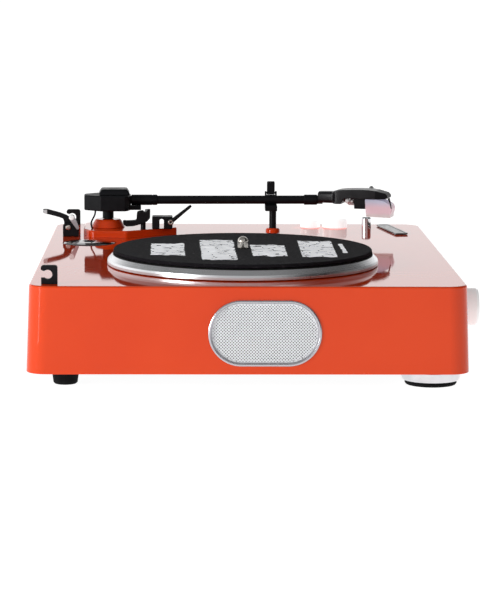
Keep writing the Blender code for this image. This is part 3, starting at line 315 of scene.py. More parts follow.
def add(name, work, look, body, place=None, nodes=(), cuts=(), joins=(), sharp=32):
    """Make a piece: join and cut it, shade it, give it its material, and ride it on a body.

    cuts and joins are (mesh, place) pairs.
    """
    place = Matrix() if place is None else place
    item = raw_object(name, work, place)
    others = []
    for operation, pairs in (("UNION", joins), ("DIFFERENCE", cuts)):
        for other_work, other_place in pairs:
            other = raw_object("tool", other_work, other_place)
            others.append(other)
            modifier = item.modifiers.new("cut", "BOOLEAN")
            modifier.operation = operation
            modifier.object = other
            modifier.solver = "EXACT"
    if others:
        bpy.context.view_layer.update()
        graph = bpy.context.evaluated_depsgraph_get()
        mesh = bpy.data.meshes.new_from_object(item.evaluated_get(graph))
        item.modifiers.clear()
        item.data = mesh
        mesh.name = name
        for other in others:
            bpy.data.objects.remove(other, do_unlink=True)
    item.data.shade_smooth()
    for face in item.data.polygons:
        if face.area > LARGE_FACE or (face.area > SMALL_FACE and len(face.vertices) > 4):
            face.use_smooth = False
    item.data.set_sharp_from_angle(angle=math.radians(sharp))
    weights = item.modifiers.new("even_shading", "WEIGHTED_NORMAL")
    weights.keep_sharp = True
    material, slot = LOOKS[look]
    item.data.materials.clear()
    item.data.materials.append(material)
    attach(item, body)
    if nodes:
        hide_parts(*([nodes] if isinstance(nodes, str) else nodes))
    return item


# ---- materials
def link_in(tree, node, sockets):
    for key, value in sockets.items():
        socket = node.inputs[key]
        if isinstance(value, bpy.types.NodeSocket):
            tree.links.new(value, socket)
        else:
            socket.default_value = value
    return node


def node(tree, kind, sockets=None, **settings):
    made = tree.nodes.new("ShaderNode" + kind)
    for key, value in settings.items():
        setattr(made, key, value)
    return link_in(tree, made, sockets or {})


def maths(tree, operation, first, second=0.0, third=0.0):
    return node(tree, "Math", {0: first, 1: second, 2: third}, operation=operation).outputs[0]


def noise(tree, coords, scale, detail=2.0, stretch=None):
    """Noise whose features are about 1/scale metres, stretched along an axis if asked."""
    if stretch:
        coords = node(tree, "Mapping", {"Vector": coords, "Scale": stretch}).outputs[0]
    return node(tree, "TexNoise", {"Vector": coords, "Scale": scale, "Detail": detail}).outputs["Fac"]


def spread(tree, value, low, high, start=0.3, end=0.7):
    """A value between start and end mapped to low..high."""
    return node(tree, "MapRange", {0: value, 1: start, 2: end, 3: low, 4: high}).outputs[0]


def soft_range(tree, value, start, end, low=0.0, high=1.0):
    """The same, easing in and out."""
    return node(tree, "MapRange", {0: value, 1: start, 2: end, 3: low, 4: high},
                interpolation_type="SMOOTHSTEP").outputs[0]


def blend_colour(tree, share, first, second):
    made = node(tree, "Mix", {}, data_type="RGBA")
    for key, value in ((0, share), (6, first), (7, second)):
        if not isinstance(value, (bpy.types.NodeSocket, float)):
            value = (*value, 1.0)
        link_in(tree, made, {key: value})
    return made.outputs[2]


def two_tone(tree, value, first, second, start=0.3, end=0.7):
    """A colour that drifts from the first to the second as a value goes from start to end."""
    return blend_colour(tree, spread(tree, value, 0.0, 1.0, start, end), first, second)


def bump(tree, height, strength, distance):
    sockets = {"Height": height, "Strength": strength, "Distance": distance}
    return node(tree, "Bump", sockets).outputs[0]


def new_look(name, **sockets):
    material = bpy.data.materials.new(name)
    material.use_nodes = True
    tree = material.node_tree
    shader = tree.nodes["Principled BSDF"]
    coords = node(tree, "TexCoord").outputs["Object"]
    named = {key.replace("_", " "): value for key, value in sockets.items()}
    link_in(tree, shader, named)
    return material, tree, shader, coords


def radius_from_axis(tree, coords):
    split = node(tree, "SeparateXYZ", {0: coords}).outputs
    square = maths(tree, "MULTIPLY_ADD", split[0], split[0], maths(tree, "MULTIPLY", split[1], split[1]))
    return maths(tree, "SQRT", square)


def orange_plastic():
    """High-gloss moulded plastic: slight tone drift, faint orange peel and a few handling smears."""
    material, tree, shader, coords = new_look("orange_gloss_look", IOR=1.36)
    tone = noise(tree, coords, 16, 2)
    colour = two_tone(tree, tone, (0.775, 0.060, 0.006), (0.735, 0.052, 0.005))
    smear = noise(tree, coords, 45, 4, (1.0, 2.2, 1.0))
    rough = spread(tree, smear, 0.03, 0.055, 0.35, 0.75)
    peel = noise(tree, coords, 420, 2)
    link_in(tree, shader, {"Base Color": colour, "Roughness": rough,
                           "Normal": bump(tree, peel, 0.05, 0.0001)})
    return material


def moulded_plastic(name, colour, low, high, grain=2600, depth=0.25, tint=1.25, gloss=0.5, glow=0.0):
    """Textured moulded plastic: a fine even grain, slightly uneven sheen, and a painted glow (emission) if
    asked, which makes it read brighter than its lighting.
    """
    material, tree, shader, coords = new_look(
        name, IOR=1.42, Specular_IOR_Level=gloss, Emission_Color=(0.97, 0.99, 1.0, 1.0),
        Emission_Strength=glow)
    tone = noise(tree, coords, 120, 3)
    light = tuple(min(1.0, part * tint + 0.002) for part in colour)
    texture = noise(tree, coords, grain, 2)
    link_in(tree, shader, {
        "Base Color": two_tone(tree, tone, colour, light),
        "Roughness": spread(tree, tone, low, high),
        "Normal": bump(tree, texture, depth, 0.00006)})
    return material


def rubber():
    material, tree, shader, coords = new_look("rubber_look", IOR=1.45, Specular_IOR_Level=0.15)
    dust = noise(tree, coords, 300, 5)
    texture = noise(tree, coords, 1800, 3)
    link_in(tree, shader, {
        "Base Color": two_tone(tree, dust, (0.003, 0.003, 0.0035), (0.012, 0.012, 0.012), 0.5, 0.85),
        "Roughness": spread(tree, dust, 0.62, 0.85),
        "Normal": bump(tree, texture, 0.35, 0.0001)})
    return material


def polished_metal(name, colour, low, high, brushed=None):
    """Plated or polished metal with fine scratches, brushed along one direction if asked."""
    material, tree, shader, coords = new_look(name, Metallic=1.0)
    cloud = noise(tree, coords, 90, 3)
    scratch = noise(tree, coords, 1500, 3, brushed or (1.0, 1.0, 0.15))
    deep = tuple(part * 0.86 for part in colour)
    link_in(tree, shader, {
        "Base Color": two_tone(tree, cloud, colour, deep),
        "Roughness": spread(tree, scratch, low, high),
        "Normal": bump(tree, scratch, 0.25 if brushed else 0.04, 0.00003)})
    return material


def turned_aluminium():
    """Machined rim: rings cut by the lathe, and a satin sheen that drifts round the rim."""
    material, tree, shader, coords = new_look("turned_aluminium_look", Metallic=1.0)
    radius = radius_from_axis(tree, coords)
    rings = node(tree, "TexNoise", {"W": radius, "Scale": 4200.0, "Detail": 2.0},
                 noise_dimensions="1D").outputs["Fac"]
    cloud = noise(tree, coords, 40, 3)
    link_in(tree, shader, {
        "Base Color": two_tone(tree, rings, (0.80, 0.81, 0.83), (0.70, 0.71, 0.73)),
        "Roughness": maths(tree, "ADD", spread(tree, rings, 0.20, 0.30), spread(tree, cloud, 0.0, 0.06)),
        "Normal": bump(tree, rings, 0.18, 0.00004)})
    return material


def silver_paint():
    """Metallic paint: fine flakes under a satin lacquer."""
    material, tree, shader, coords = new_look("silver_paint_look", Metallic=0.85, IOR=1.5)
    flakes = node(tree, "TexVoronoi", {"Vector": coords, "Scale": 5200.0}).outputs["Distance"]
    cloud = noise(tree, coords, 70, 3)
    link_in(tree, shader, {
        "Base Color": two_tone(tree, flakes, (0.56, 0.55, 0.58), (0.50, 0.49, 0.52), 0.1, 0.7),
        "Roughness": spread(tree, cloud, 0.25, 0.29),
        "Normal": bump(tree, flakes, 0.03, 0.00002)})
    return material


def grille_paint():
    """Powder coat on the punched sheet."""
    material, tree, shader, coords = new_look("grille_paint_look", Metallic=0.1, IOR=1.5)
    grain = noise(tree, coords, 2400, 2)
    cloud = noise(tree, coords, 60, 3)
    link_in(tree, shader, {
        "Base Color": two_tone(tree, cloud, (0.88, 0.895, 0.92), (0.84, 0.855, 0.88)),
        "Roughness": spread(tree, grain, 0.38, 0.52),
        "Normal": bump(tree, grain, 0.2, 0.00005)})
    return material


def speaker_cloth():
    material, tree, shader, coords = new_look("speaker_cloth_look", Roughness=0.95)
    weave = node(tree, "TexVoronoi", {"Vector": coords, "Scale": 2600.0}).outputs["Distance"]
    link_in(tree, shader, {
        "Base Color": two_tone(tree, weave, (0.13, 0.13, 0.14), (0.06, 0.06, 0.065), 0.1, 0.8),
        "Normal": bump(tree, weave, 0.5, 0.0001)})
    return material


def stripe_mask(tree, value, half, soft=0.0002):
    """1 where a value is within half of zero, easing to 0 over a soft border."""
    return soft_range(tree, maths(tree, "ABSOLUTE", value), half - soft, half + soft, 1.0, 0.0)


# the worn print on the mat: centre along Y and X, half sizes and turn, in mm on the mat
PRINT_BLOCKS = (
    (51.0, -7.7, 11.3, 31.0, -0.7),
    (17.0, -10.0, 11.6, 53.0, -0.7),
    (-17.2, -13.0, 11.6, 29.7, -0.4),
    (-50.3, -4.0, 11.6, 43.0, 0.3),
    (-68.0, -1.6, 1.4, 24.0, -1.0))


def felt_mat():
    """Black felt with lint, and blocks of worn white print broken by dark cracks; the print also carries a
    faint painted glow.
    """
    material, tree, shader, coords = new_look(
        "felt_look", Roughness=0.95, Sheen_Weight=0.03, Sheen_Roughness=0.5, IOR=1.3, Specular_IOR_Level=0.05)
    fibres = noise(tree, coords, 1700, 4)
    lint = noise(tree, coords, 520, 6)
    cloth = two_tone(tree, fibres, (0.0062, 0.0058, 0.0074), (0.0165, 0.0155, 0.0190))
    cloth = blend_colour(tree, spread(tree, lint, 0.0, 0.5, 0.6, 0.74), cloth, (0.115, 0.115, 0.125))
    split = node(tree, "SeparateXYZ", {0: coords}).outputs
    wobble = noise(tree, coords, 260, 3)
    shift = maths(tree, "MULTIPLY_ADD", wobble, 0.0022, -0.0011)
    ragged = maths(tree, "MULTIPLY_ADD", noise(tree, coords, 130, 2), 0.016, -0.008)
    total = None
    for along, across, half_along, half_across, lean in PRINT_BLOCKS:
        cos, sin = math.cos(math.radians(lean)), math.sin(math.radians(lean))
        y = maths(tree, "SUBTRACT", split[1], along * MM)
        x = maths(tree, "SUBTRACT", split[0], across * MM)
        u = maths(tree, "MULTIPLY_ADD", y, cos, maths(tree, "MULTIPLY_ADD", x, sin, shift))
        v = maths(tree, "MULTIPLY_ADD", x, cos, maths(tree, "MULTIPLY_ADD", y, -sin, ragged))
        patch = maths(tree, "MULTIPLY", stripe_mask(tree, u, half_along * MM),
                      stripe_mask(tree, v, half_across * MM))
        total = patch if total is None else maths(tree, "MAXIMUM", total, patch)
    bars = node(tree, "Mapping", {"Vector": coords, "Scale": (210.0, 95.0, 1.0)}).outputs[0]
    cracks = node(tree, "TexVoronoi", {"Vector": bars, "Scale": 1.0, "Randomness": 0.9},
                  feature="DISTANCE_TO_EDGE").outputs["Distance"]
    solid = spread(tree, cracks, 0.0, 1.0, 0.02, 0.05)
    streaks = noise(tree, coords, 240, 3, (5.0, 0.35, 1.0))
    worn = maths(tree, "MULTIPLY", spread(tree, fibres, 0.88, 1.0, 0.2, 0.42),
                 spread(tree, streaks, 0.25, 1.0, 0.37, 0.43))
    ink_and_painted_glow = maths(tree, "MULTIPLY", maths(tree, "MULTIPLY", total, solid), worn)
    height = maths(tree, "ADD", fibres, maths(tree, "MULTIPLY", lint, 0.6))
    # the print mask sets the white ink, and its emission is a painted glow that lifts the print above its
    # lighting
    link_in(tree, shader, {
        "Base Color": blend_colour(tree, ink_and_painted_glow, cloth, (0.95, 0.96, 0.98)),
        "Emission Color": (0.95, 0.97, 1.0, 1.0),
        "Emission Strength": maths(tree, "MULTIPLY", ink_and_painted_glow, 0.45),
        "Normal": bump(tree, height, 0.8, 0.00025)})
    return material


def clear_plastic(name, colour, through):
    """Thin tinted plastic with slightly uneven gloss."""
    material, tree, shader, coords = new_look(name, IOR=1.32, Transmission_Weight=through)
    cloud = noise(tree, coords, 180, 3)
    deep = tuple(part * 0.9 for part in colour)
    link_in(tree, shader, {
        "Base Color": two_tone(tree, cloud, colour, deep),
        "Roughness": spread(tree, cloud, 0.08, 0.2)})
    return material


def milky_guard():
    """Thin pink translucent moulding with a faint painted glow: painted shade makes it cooler high up under
    the arm, and painted light makes it paler low down where it is thin.
    """
    # the faint emission is a painted glow
    material, tree, shader, coords = new_look("guard_pink_look", IOR=1.3, Transmission_Weight=0.3,
                                              Emission_Strength=0.07)
    height = node(tree, "SeparateXYZ", {0: coords}).outputs[1]
    cloud = noise(tree, coords, 240, 3)
    wobble = maths(tree, "MULTIPLY_ADD", cloud, 0.0015, height)
    # painted light: the low band paler where light comes through the thin plastic; painted shade: the high
    # band cooler under the arm
    thin_painted_light = soft_range(tree, wobble, 0.0815, 0.0850)
    arm_painted_shade = soft_range(tree, wobble, 0.0875, 0.0935)
    colour = blend_colour(tree, thin_painted_light, (0.90, 0.83, 0.83), (1.0, 0.78, 0.85))
    colour = blend_colour(tree, arm_painted_shade, colour, (0.76, 0.80, 0.96))
    link_in(tree, shader, {"Base Color": colour, "Emission Color": colour,
                           "Roughness": spread(tree, cloud, 0.12, 0.26)})
    return material


def circuit_material():
    """Solder mask with copper tracks showing through."""
    material, tree, shader, coords = new_look("circuit_look", IOR=1.5)
    tracks = node(tree, "TexBrick", {
        "Vector": coords, "Scale": 260.0, "Color1": (0.015, 0.10, 0.04, 1), "Color2": (0.02, 0.13, 0.05, 1),
        "Mortar": (0.05, 0.24, 0.09, 1), "Mortar Size": 0.06}).outputs["Color"]
    cloud = noise(tree, coords, 300, 2)
    link_in(tree, shader, {"Base Color": tracks, "Roughness": spread(tree, cloud, 0.3, 0.5)})
    return material


# look: (material, the record's slot that it shows)
LOOKS = {
    "orange": (orange_plastic(), "orange_gloss"),
    "black": (moulded_plastic("black_satin_look", (0.0046, 0.005, 0.0064), 0.36, 0.5, 2600, 0.2, gloss=0.19),
              "black_satin"),
    "shell": (moulded_plastic("headshell_look", (0.0045, 0.0045, 0.006), 0.28, 0.38, 2600, 0.2, gloss=0.46),
              "black_satin"),
    "base": (moulded_plastic("base_black_look", (0.02, 0.02, 0.021), 0.5, 0.68, 1300, 0.5), "base_black"),
    "rubber": (rubber(), "black_rubber"),
    "chrome": (polished_metal("chrome_look", (0.76, 0.765, 0.79), 0.03, 0.08), "chrome"),
    "nickel": (polished_metal("nickel_look", (0.66, 0.62, 0.57), 0.10, 0.20), "nickel"),
    "steel": (polished_metal("steel_look", (0.56, 0.56, 0.57), 0.22, 0.36), "steel"),
    "brass": (polished_metal("brass_look", (0.70, 0.47, 0.17), 0.18, 0.32), "brass"),
    "badge": (polished_metal("badge_look", (0.20, 0.205, 0.21), 0.2, 0.4, (0.06, 1.0, 1.0)), "badge_metal"),
    "platter": (turned_aluminium(), "aluminium"),
    "silver": (silver_paint(), "silver_paint"),
    "grille": (grille_paint(), "grille_white"),
    "cloth": (speaker_cloth(), "black_satin"),
    "felt": (felt_mat(), "felt_black"),
    # the white knobs and the selectors carry a painted glow that makes them read brighter than their lighting
    # gives
    "white": (moulded_plastic("knob_white_look", (0.82, 0.82, 0.815), 0.22, 0.32, 1500, 0.06, 1.02,
                              glow=0.26), "knob_white"),
    "selector": (moulded_plastic("selector_look", (0.93, 0.92, 0.90), 0.22, 0.32, 1500, 0.06, 1.02, glow=0.7),
                 "knob_white"),
    "guard": (milky_guard(), "guard_pink"),
    "lug": (clear_plastic("clear_lug_look", (0.93, 0.93, 0.95), 0.12), "knob_white"),
    "stylus": (moulded_plastic("stylus_red_look", (0.32, 0.03, 0.03), 0.2, 0.3), "black_satin"),
    "gunmetal": (polished_metal("gunmetal_look", (0.055, 0.055, 0.06), 0.08, 0.18), "gunmetal"),
    "jack_red": (moulded_plastic("jack_red_look", (0.55, 0.02, 0.02), 0.3, 0.4), "black_satin"),
    "jack_white": (moulded_plastic("jack_white_look", (0.75, 0.75, 0.73), 0.3, 0.4), "knob_white"),
    "board": (circuit_material(), "board_green"),
}


def keep(look, *names):
    """A CAD node that stays gets its finished material."""
    for name in names:
        item = frame["nodes"][name]
        item.data.materials.clear()
        item.data.materials.append(LOOKS[look][0])


# ---- cabinet
def rounded_rectangle(half_x, half_y, radius, height, count=14):
    loop = []
    for sx, sy, start in ((1, 1, 0), (-1, 1, 90), (-1, -1, 180), (1, -1, 270)):
        centre = (sx * (half_x - radius), sy * (half_y - radius))
        loop += [(x, y, height) for x, y in arc(centre, radius, start, start + 90, count)]
    return loop


def leaning_body(set_in, bottom, top, radius, top_edge=0.0, bottom_edge=0.0, steps=6):
    """A rounded block whose sides lean out downwards like the cabinet's."""
    levels = []
    for step in range(steps + 1):
        angle = math.pi / 2 * step / steps
        levels.append((bottom + bottom_edge * (1 - math.cos(angle)), bottom_edge * (1 - math.sin(angle))))
    for step in range(steps + 1):
        angle = math.pi / 2 * step / steps
        levels.append((top - top_edge * (1 - math.sin(angle)), top_edge * (1 - math.cos(angle))))
    loops = []
    for height, shrink in dict(levels).items():
        reach = (DECK_Z - height) * math.tan(DRAFT) - set_in - shrink
        loops.append(rounded_rectangle(CASE_X + reach, CASE_Y + reach, radius - shrink, height))
    return loft(loops)


def post(radius, xy, low, high, sides=ROUND):
    """An upright round bar as a (mesh, place) pair."""
    return lathe(((0, high), (radius, high), (radius, low), (0, low)), sides), at(xy[0], xy[1])


def cross_slot(reach, half, low, high, place, angle):
    """Two bars that cut a cross into a screw's head."""
    return [(block((-reach, -half, low), (reach, half, high), 0), place @ turn(a)) for a in (angle,
                                                                                             angle + 90)]


def bore(radius, reach, sides=SMALL):
    """A round bar along local z, to cut a hole."""
    return lathe(((0, reach), (radius, reach), (radius, -reach), (0, -reach)), sides)


def cabinet():
    adapter, pulley = middle("adapter_45"), middle("motor_pulley")
    platter, knob = middle("platter"), middle("front_knob")
    top, under = DECK_Z + 5, DECK_Z - DECK_THICKNESS
    adapter_radius = round_box("adapter_45")[0]
    cuts = [
        (leaning_body(WALL, CASE_BOTTOM - 5, under, CORNER_RADIUS - WALL), Matrix()),
        post(6.4, platter, under - 2, top),
        post(7.0, pulley, under - 2, top),
        post(adapter_radius + 0.4, adapter, DECK_Z - 4.0, top, FINE),
        post(2.9, middle("selector_small"), under - 2, top),
        post(2.9, middle("selector_large"), under - 2, top),
        post(3.95, middle("power_button"), under - 2, top),
        (bore(3.6, 10, ROUND), face_frame("front", knob.x, knob.z))]
    for side in ("left", "right"):
        grille = middle(f"speaker_grille_{side}")
        cuts.append((prism(stadium(69.0, 38.8), -6, 6), face_frame(side, grille.y, SPEAKER_Z)))
    for name, radius in SOCKETS:
        cuts.append((bore(radius + 0.4, 8, ROUND), socket_frame(name)))
    add("cabinet", leaning_body(0, CASE_BOTTOM, DECK_Z, CORNER_RADIUS, DECK_EDGE, 0.4), "orange", "root",
        nodes="cabinet_shell", cuts=cuts, joins=[post(22, adapter, DECK_Z - 6.2, DECK_Z - 1, FINE)])
    keep("base", "base_plate")
    for side in ("front_left", "front_right", "rear_left", "rear_right"):
        name = f"base_screw_{side}"
        place, head = upright(name), box_mm(name)[0].z
        work = lathe(((0, 22), (1.1, 22), (1.5, 21.4), (1.5, head + 1.4), (3.0, head + 1.4),
                      (3.0, head + 0.5),
                      (2.4, head), (0, head)), SMALL, 0.12)
        bars = cross_slot(2, 0.35, head - 1, head + 0.8, place, 30)
        add(name + "_fine", work, "steel", "root", place, name, cuts=bars)


def socket_frame(name):
    return face_frame("back", middle(name).x, SOCKET_Z)


def feet():
    top = box_mm("foot_ring_front_left")[1].z
    for side in ("left", "right"):
        front, rear = upright(f"foot_ring_front_{side}"), upright(f"foot_rear_{side}")
        ring = ((0, top), (18.9, top), (19.3, top - 0.5), (19.3, 4.9, 0.8), (18.7, 3.2, 0.35), (17.3, 3.2),
                (17.3, 7.4), (0, 7.4))
        add(f"foot_ring_{side}", lathe(ring, FINE, 0.2), "chrome", "root", front, f"foot_ring_front_{side}")
        pad = ((0, 7.1), (16.85, 7.1), (16.85, 2.3), (16.6, 2.1), (16.85, 1.9), (16.85, 0.9, 0.5), (16.1, 0),
               (13.2, 0), (12.8, 0.35), (12.0, 0.35), (11.6, 0), (0, 0))
        add(f"foot_pad_{side}", lathe(pad, FINE, 0.12), "rubber", "root", front, f"foot_pad_front_{side}")
        stub = ((0, top), (8.8, top), (8.9, top - 0.4), (7.8, 0.8, 0.5), (6.9, 0), (2.6, 0), (2.2, 1.6),
                (0, 1.6))
        add(f"foot_stub_{side}", lathe(stub, ROUND, 0.2), "rubber", "root", rear, f"foot_rear_{side}")
        head = lathe(((0, 1.55), (1.9, 1.55), (1.9, 1.2), (1.2, 0.6), (0, 0.5)), SMALL, 0.1)
        bars = cross_slot(1.2, 0.25, 0, 1.1, rear, 15)
        add(f"foot_screw_{side}", head, "steel", "root", rear, cuts=bars)


# ---- speakers and sockets
def punched_sheet(width, height, low, high):
    """A flat sheet with round ends and staggered round holes right through it."""
    outline = stadium(width, height, 40)
    holes = []
    rows, columns = int(height / 2 / GRILLE_STEP), int(width / 2 / GRILLE_STEP)
    for row in range(-rows, rows + 1):
        for column in range(-columns, columns + 1):
            x, y = column * GRILLE_STEP, row * GRILLE_STEP
            away = math.hypot(max(abs(x) - (width - height) / 2, 0), y)
            if (row + column) % 2 == 0 and away < height / 2 - 0.75:
                holes.append((x, y))
    points = [Vector(point) for point in outline]
    edges = [(index, (index + 1) % len(points)) for index in range(len(points))]
    for centre in holes:
        start = len(points)
        ring = arc(centre, GRILLE_HOLE, 0, 324, 9)
        points += [Vector(point) for point in ring]
        edges += [(start + index, start + (index + 1) % len(ring)) for index in range(len(ring))]
    verts, _, faces, *_ = delaunay_2d_cdt(points, edges, [], 0, 1e-6)
    work = bmesh.new()
    made = [work.verts.new((point.x, point.y, high)) for point in verts]
    for face in faces:
        x, y = (sum(verts[index][axis] for index in face) / len(face) for axis in (0, 1))
        row, column = round(y / GRILLE_STEP), round(x / GRILLE_STEP)
        spots = [(column + a, row + b) for a in (-1, 0, 1) for b in (-1, 0,
                                                                     1) if (column + a + row + b) % 2 == 0]
        near = min(math.hypot(x - a * GRILLE_STEP, y - b * GRILLE_STEP) for a, b in spots)
        in_margin = math.hypot(max(abs(x) - (width - height) / 2, 0), y) > height / 2 - 0.5
        if near > GRILLE_HOLE * 0.97 or in_margin:
            work.faces.new([made[index] for index in face])
    sheet = bmesh.ops.extrude_face_region(work, geom=work.faces[:])
    bmesh.ops.translate(work, vec=(0, 0, low - high), verts=[g for g in sheet["geom"] if isinstance(g,
                                                                                                    bmesh.types.BMVert)])
    return work


def speakers():
    width, height = 72.4, 42.2
    section = eased(((0, 0.3), (0, 0.75, 0.4), (0.7, 1.19, 0.5), (1.3, 1.19, 0.5), (2.2, 0.2, 0.3),
                     (2.2, -1.9),
                     (4.0, -1.9), (4.0, -3.4), (1.9, -3.4), (1.9, 0.3)), 0.12)
    for side in ("left", "right"):
        grille = middle(f"speaker_grille_{side}")
        place = face_frame(side, grille.y, SPEAKER_Z)
        loops = [[(x, y, z) for x, y in stadium(width - 2 * step, height - 2 * step, 36)] for step,
                 z in section]
        add(f"bezel_{side}", loft(loops, closed=True), "silver", "root", place, f"speaker_bezel_{side}")
        add(f"grille_{side}", punched_sheet(67.8, 37.6, -1.5, -0.7), "grille", "root", place,
            f"speaker_grille_{side}")
        add(f"grille_cloth_{side}", prism(stadium(62.6, 32.4), -2.5, -2.1), "cloth", "root", place)
        keep("black", f"speaker_driver_{side}")


def sockets():
    inlet = ((0, 0.2), (0.85, 0.0), (0.95, -6), (2.9, -6), (2.9, 1.0), (3.3, 1.2), (5.3, 1.2), (5.6, 0.9),
             (5.6, 0.35),
             (4.2, 0.35), (4.2, -9), (0, -9))
    add("dc_socket", lathe(inlet, ROUND, 0.12), "black", "root", socket_frame("dc_inlet"), "dc_inlet")
    pin = ((0, 0.9), (0.5, 0.75), (0.8, 0.1), (0.8, -5.9), (0, -5.9))
    add("dc_socket_pin", lathe(pin, SMALL, 0.1), "nickel", "root", socket_frame("dc_inlet"))
    for name, look in (("rca_jack_left", "jack_white"), ("rca_jack_right", "jack_red")):
        shell = ((0, -3), (3.0, -3), (3.0, 7.6), (3.3, 7.85), (3.8, 7.85), (4.15, 7.4), (4.15, 1.6),
                 (5.8, 1.6), (5.8, 0.35),
                 (4.15, 0.35), (4.15, -6), (0, -6))
        add(name + "_shell", lathe(shell, ROUND, 0.12), "nickel", "root", socket_frame(name), name)
        core = ((1.7, 6.6), (2.9, 6.6), (2.9, -2.8), (1.7, -2.8))
        add(name + "_core", lathe(core, ROUND, 0.15), look, "root", socket_frame(name))


# ---- platter and drive
def platter():
    radius, base, top = round_box("platter")
    axis = upright("platter")
    foot = DECK_Z + 0.4
    rim = ((3.9, top), (86.0, top, 0.15), (86.3, top - 0.3), (86.4, top - 1.0), (88.6, top - 1.1),
           (90.3, top - 2.8, 0.3),
           (radius - 0.35, top - 4.2, 0.3), (radius, top - 5.6, 0.3), (radius, foot + 0.3, 0.2),
           (radius - 0.4, foot), (90.5, foot),
           (88.0, top - 2.7), (62, top - 2.7), (62, base), (59, base), (59, top - 2.7), (12, top - 2.7),
           (12, base),
           (3.9, base))
    add("platter_disc", lathe(rim, 192, 0.1), "platter", "platter", axis, "platter", sharp=26)
    # a black ring in the groove under the mat's edge: a dark piece standing in for the shadow under the mat's
    # overhang (painted shadow)
    shadow_ring = ((86.45, top - 0.1), (88.2, top - 0.1), (88.2, top - 1.03), (86.45, top - 0.98))
    add("mat_shadow_band", lathe(shadow_ring, 192, 0.1), "rubber", "platter", axis)
    radius, base, top = round_box("slipmat")
    face = [(3.9, top - 0.15)] + [(r, top - 0.05 * (step % 2)) for step,
                                  r in enumerate(range(6, int(radius) - 2, 3))]
    mat = face + [(radius - 0.5, top, 0.5), (radius, top - 0.5, 0.5), (radius, base + 0.1),
                  (radius - 0.3, base),
                  (3.9, base)]
    add("felt_mat", lathe(mat, 192, 0.12), "felt", "platter", axis, "slipmat")
    _, base, top = round_box("spindle")
    dome = [(3.6 * math.sin(math.radians(a)), top - 3.6 + 3.6 * math.cos(math.radians(a))) for a in range(0,
                                                                                                          91,
                                                                                                          9)]
    tip = [(0, top)] + dome[1:] + [(3.6, top - 7.4), (3.45, top - 7.5), (3.6, top - 7.6), (3.6, base + 0.5),
                                   (3.1, base), (0, base)]
    add("spindle_pin", lathe(tip, ROUND), "nickel", "platter", axis, "spindle")
    keep("brass", "bearing_sleeve", "motor_pulley")
    keep("steel", "motor_can", "volume_pot")
    keep("rubber", "drive_belt")
    keep("board", "control_board", "circuit_board")


# ---- tonearm
def arm_base():
    low, high = box_mm("tonearm_base")
    outline = eased(((84, 110), (82, 84), (106, low.y), (128, low.y), (high.x, 78), (high.x, high.y),
                     (98, high.y)),
                    4.0, count=8)
    pivot, stem = Vector(JOINTS["tonearm_swing"]["pos_m"]) / MM, (93.5, 72)
    add("arm_base", prism(outline, DECK_Z + TOUCH, high.z, 0.9, 4, True), "orange", "root",
        nodes="tonearm_base",
        cuts=[post(3.4, pivot, low.z - 1, high.z + 1), post(2.3, stem, low.z - 1, high.z + 1, SMALL)])
    seat = high.z + TOUCH
    low, high = box_mm("tonearm_turret")
    profile = ((3.0, high.z), (9.0, high.z, 0.5), (9.9, high.z - 0.9, 0.9), (11.6, low.z + 1.5, 2.0),
               (12.8, seat), (3.0, seat))
    add("turret", lathe(profile, 96, 0.3), "orange", "root", at(pivot.x, pivot.y), "tonearm_turret")


def arm_place():
    """The swinging frame: local -Y runs along the parked arm; heights count from the floor."""
    swing, lift = JOINTS["tonearm_swing"], JOINTS["tonearm_lift"]
    pivot = Vector(swing["pos_m"]) / MM
    axis = lift["axis"]
    return at(pivot.x, pivot.y) @ Matrix.Rotation(math.atan2(-axis[1], -axis[0]), 4, "Z")


def superellipse(half, low, high, power, along, count=40):
    """A loop across local -Y: rounder or squarer by its power."""
    loop = []
    for step in range(count):
        angle = 2 * math.pi * step / count
        cos, sin = math.cos(angle), math.sin(angle)
        x = half * math.copysign(abs(cos) ** (2 / power), cos)
        z = (low + high) / 2 + (high - low) / 2 * math.copysign(abs(sin) ** (2 / power), sin)
        loop.append((x, -along, z))
    return loop


# headshell sections: distance from its rear, half width, lowest and highest point
SHELL_SECTIONS = (
    (1.0, 4.7, 89.6, 97.3), (1.5, 5.2, 89.15, 97.8), (12.0, 5.2, 89.2, 98.2), (13.6, 5.9, 89.2, 98.6),
    (15.4, 8.2, 89.2, 99.2), (17.0, 8.5, 89.2, 99.6), (19.6, 8.5, 89.3, 99.9), (20.3, 8.5, 89.6, 100.0),
    (21.4, 8.5, 92.4, 100.1),
    (22.2, 8.5, 93.3, 100.1), (28.0, 8.5, 93.5, 100.4), (35.0, 8.5, 93.6, 100.6), (41.0, 8.5, 93.6, 100.5),
    (46.0, 8.0, 93.6, 99.9))
SQUARE, SOFT = 24.0, 3.6  # powers of the superellipse
NECK_END = 12
NOSE_SECTIONS = ((46.0, 8.0, 93.6, 99.9), (50.0, 7.2, 93.7, 99.0), (53.4, 6.5, 93.8, 98.2),
                 (55.0, 6.1, 94.6, 96.4))


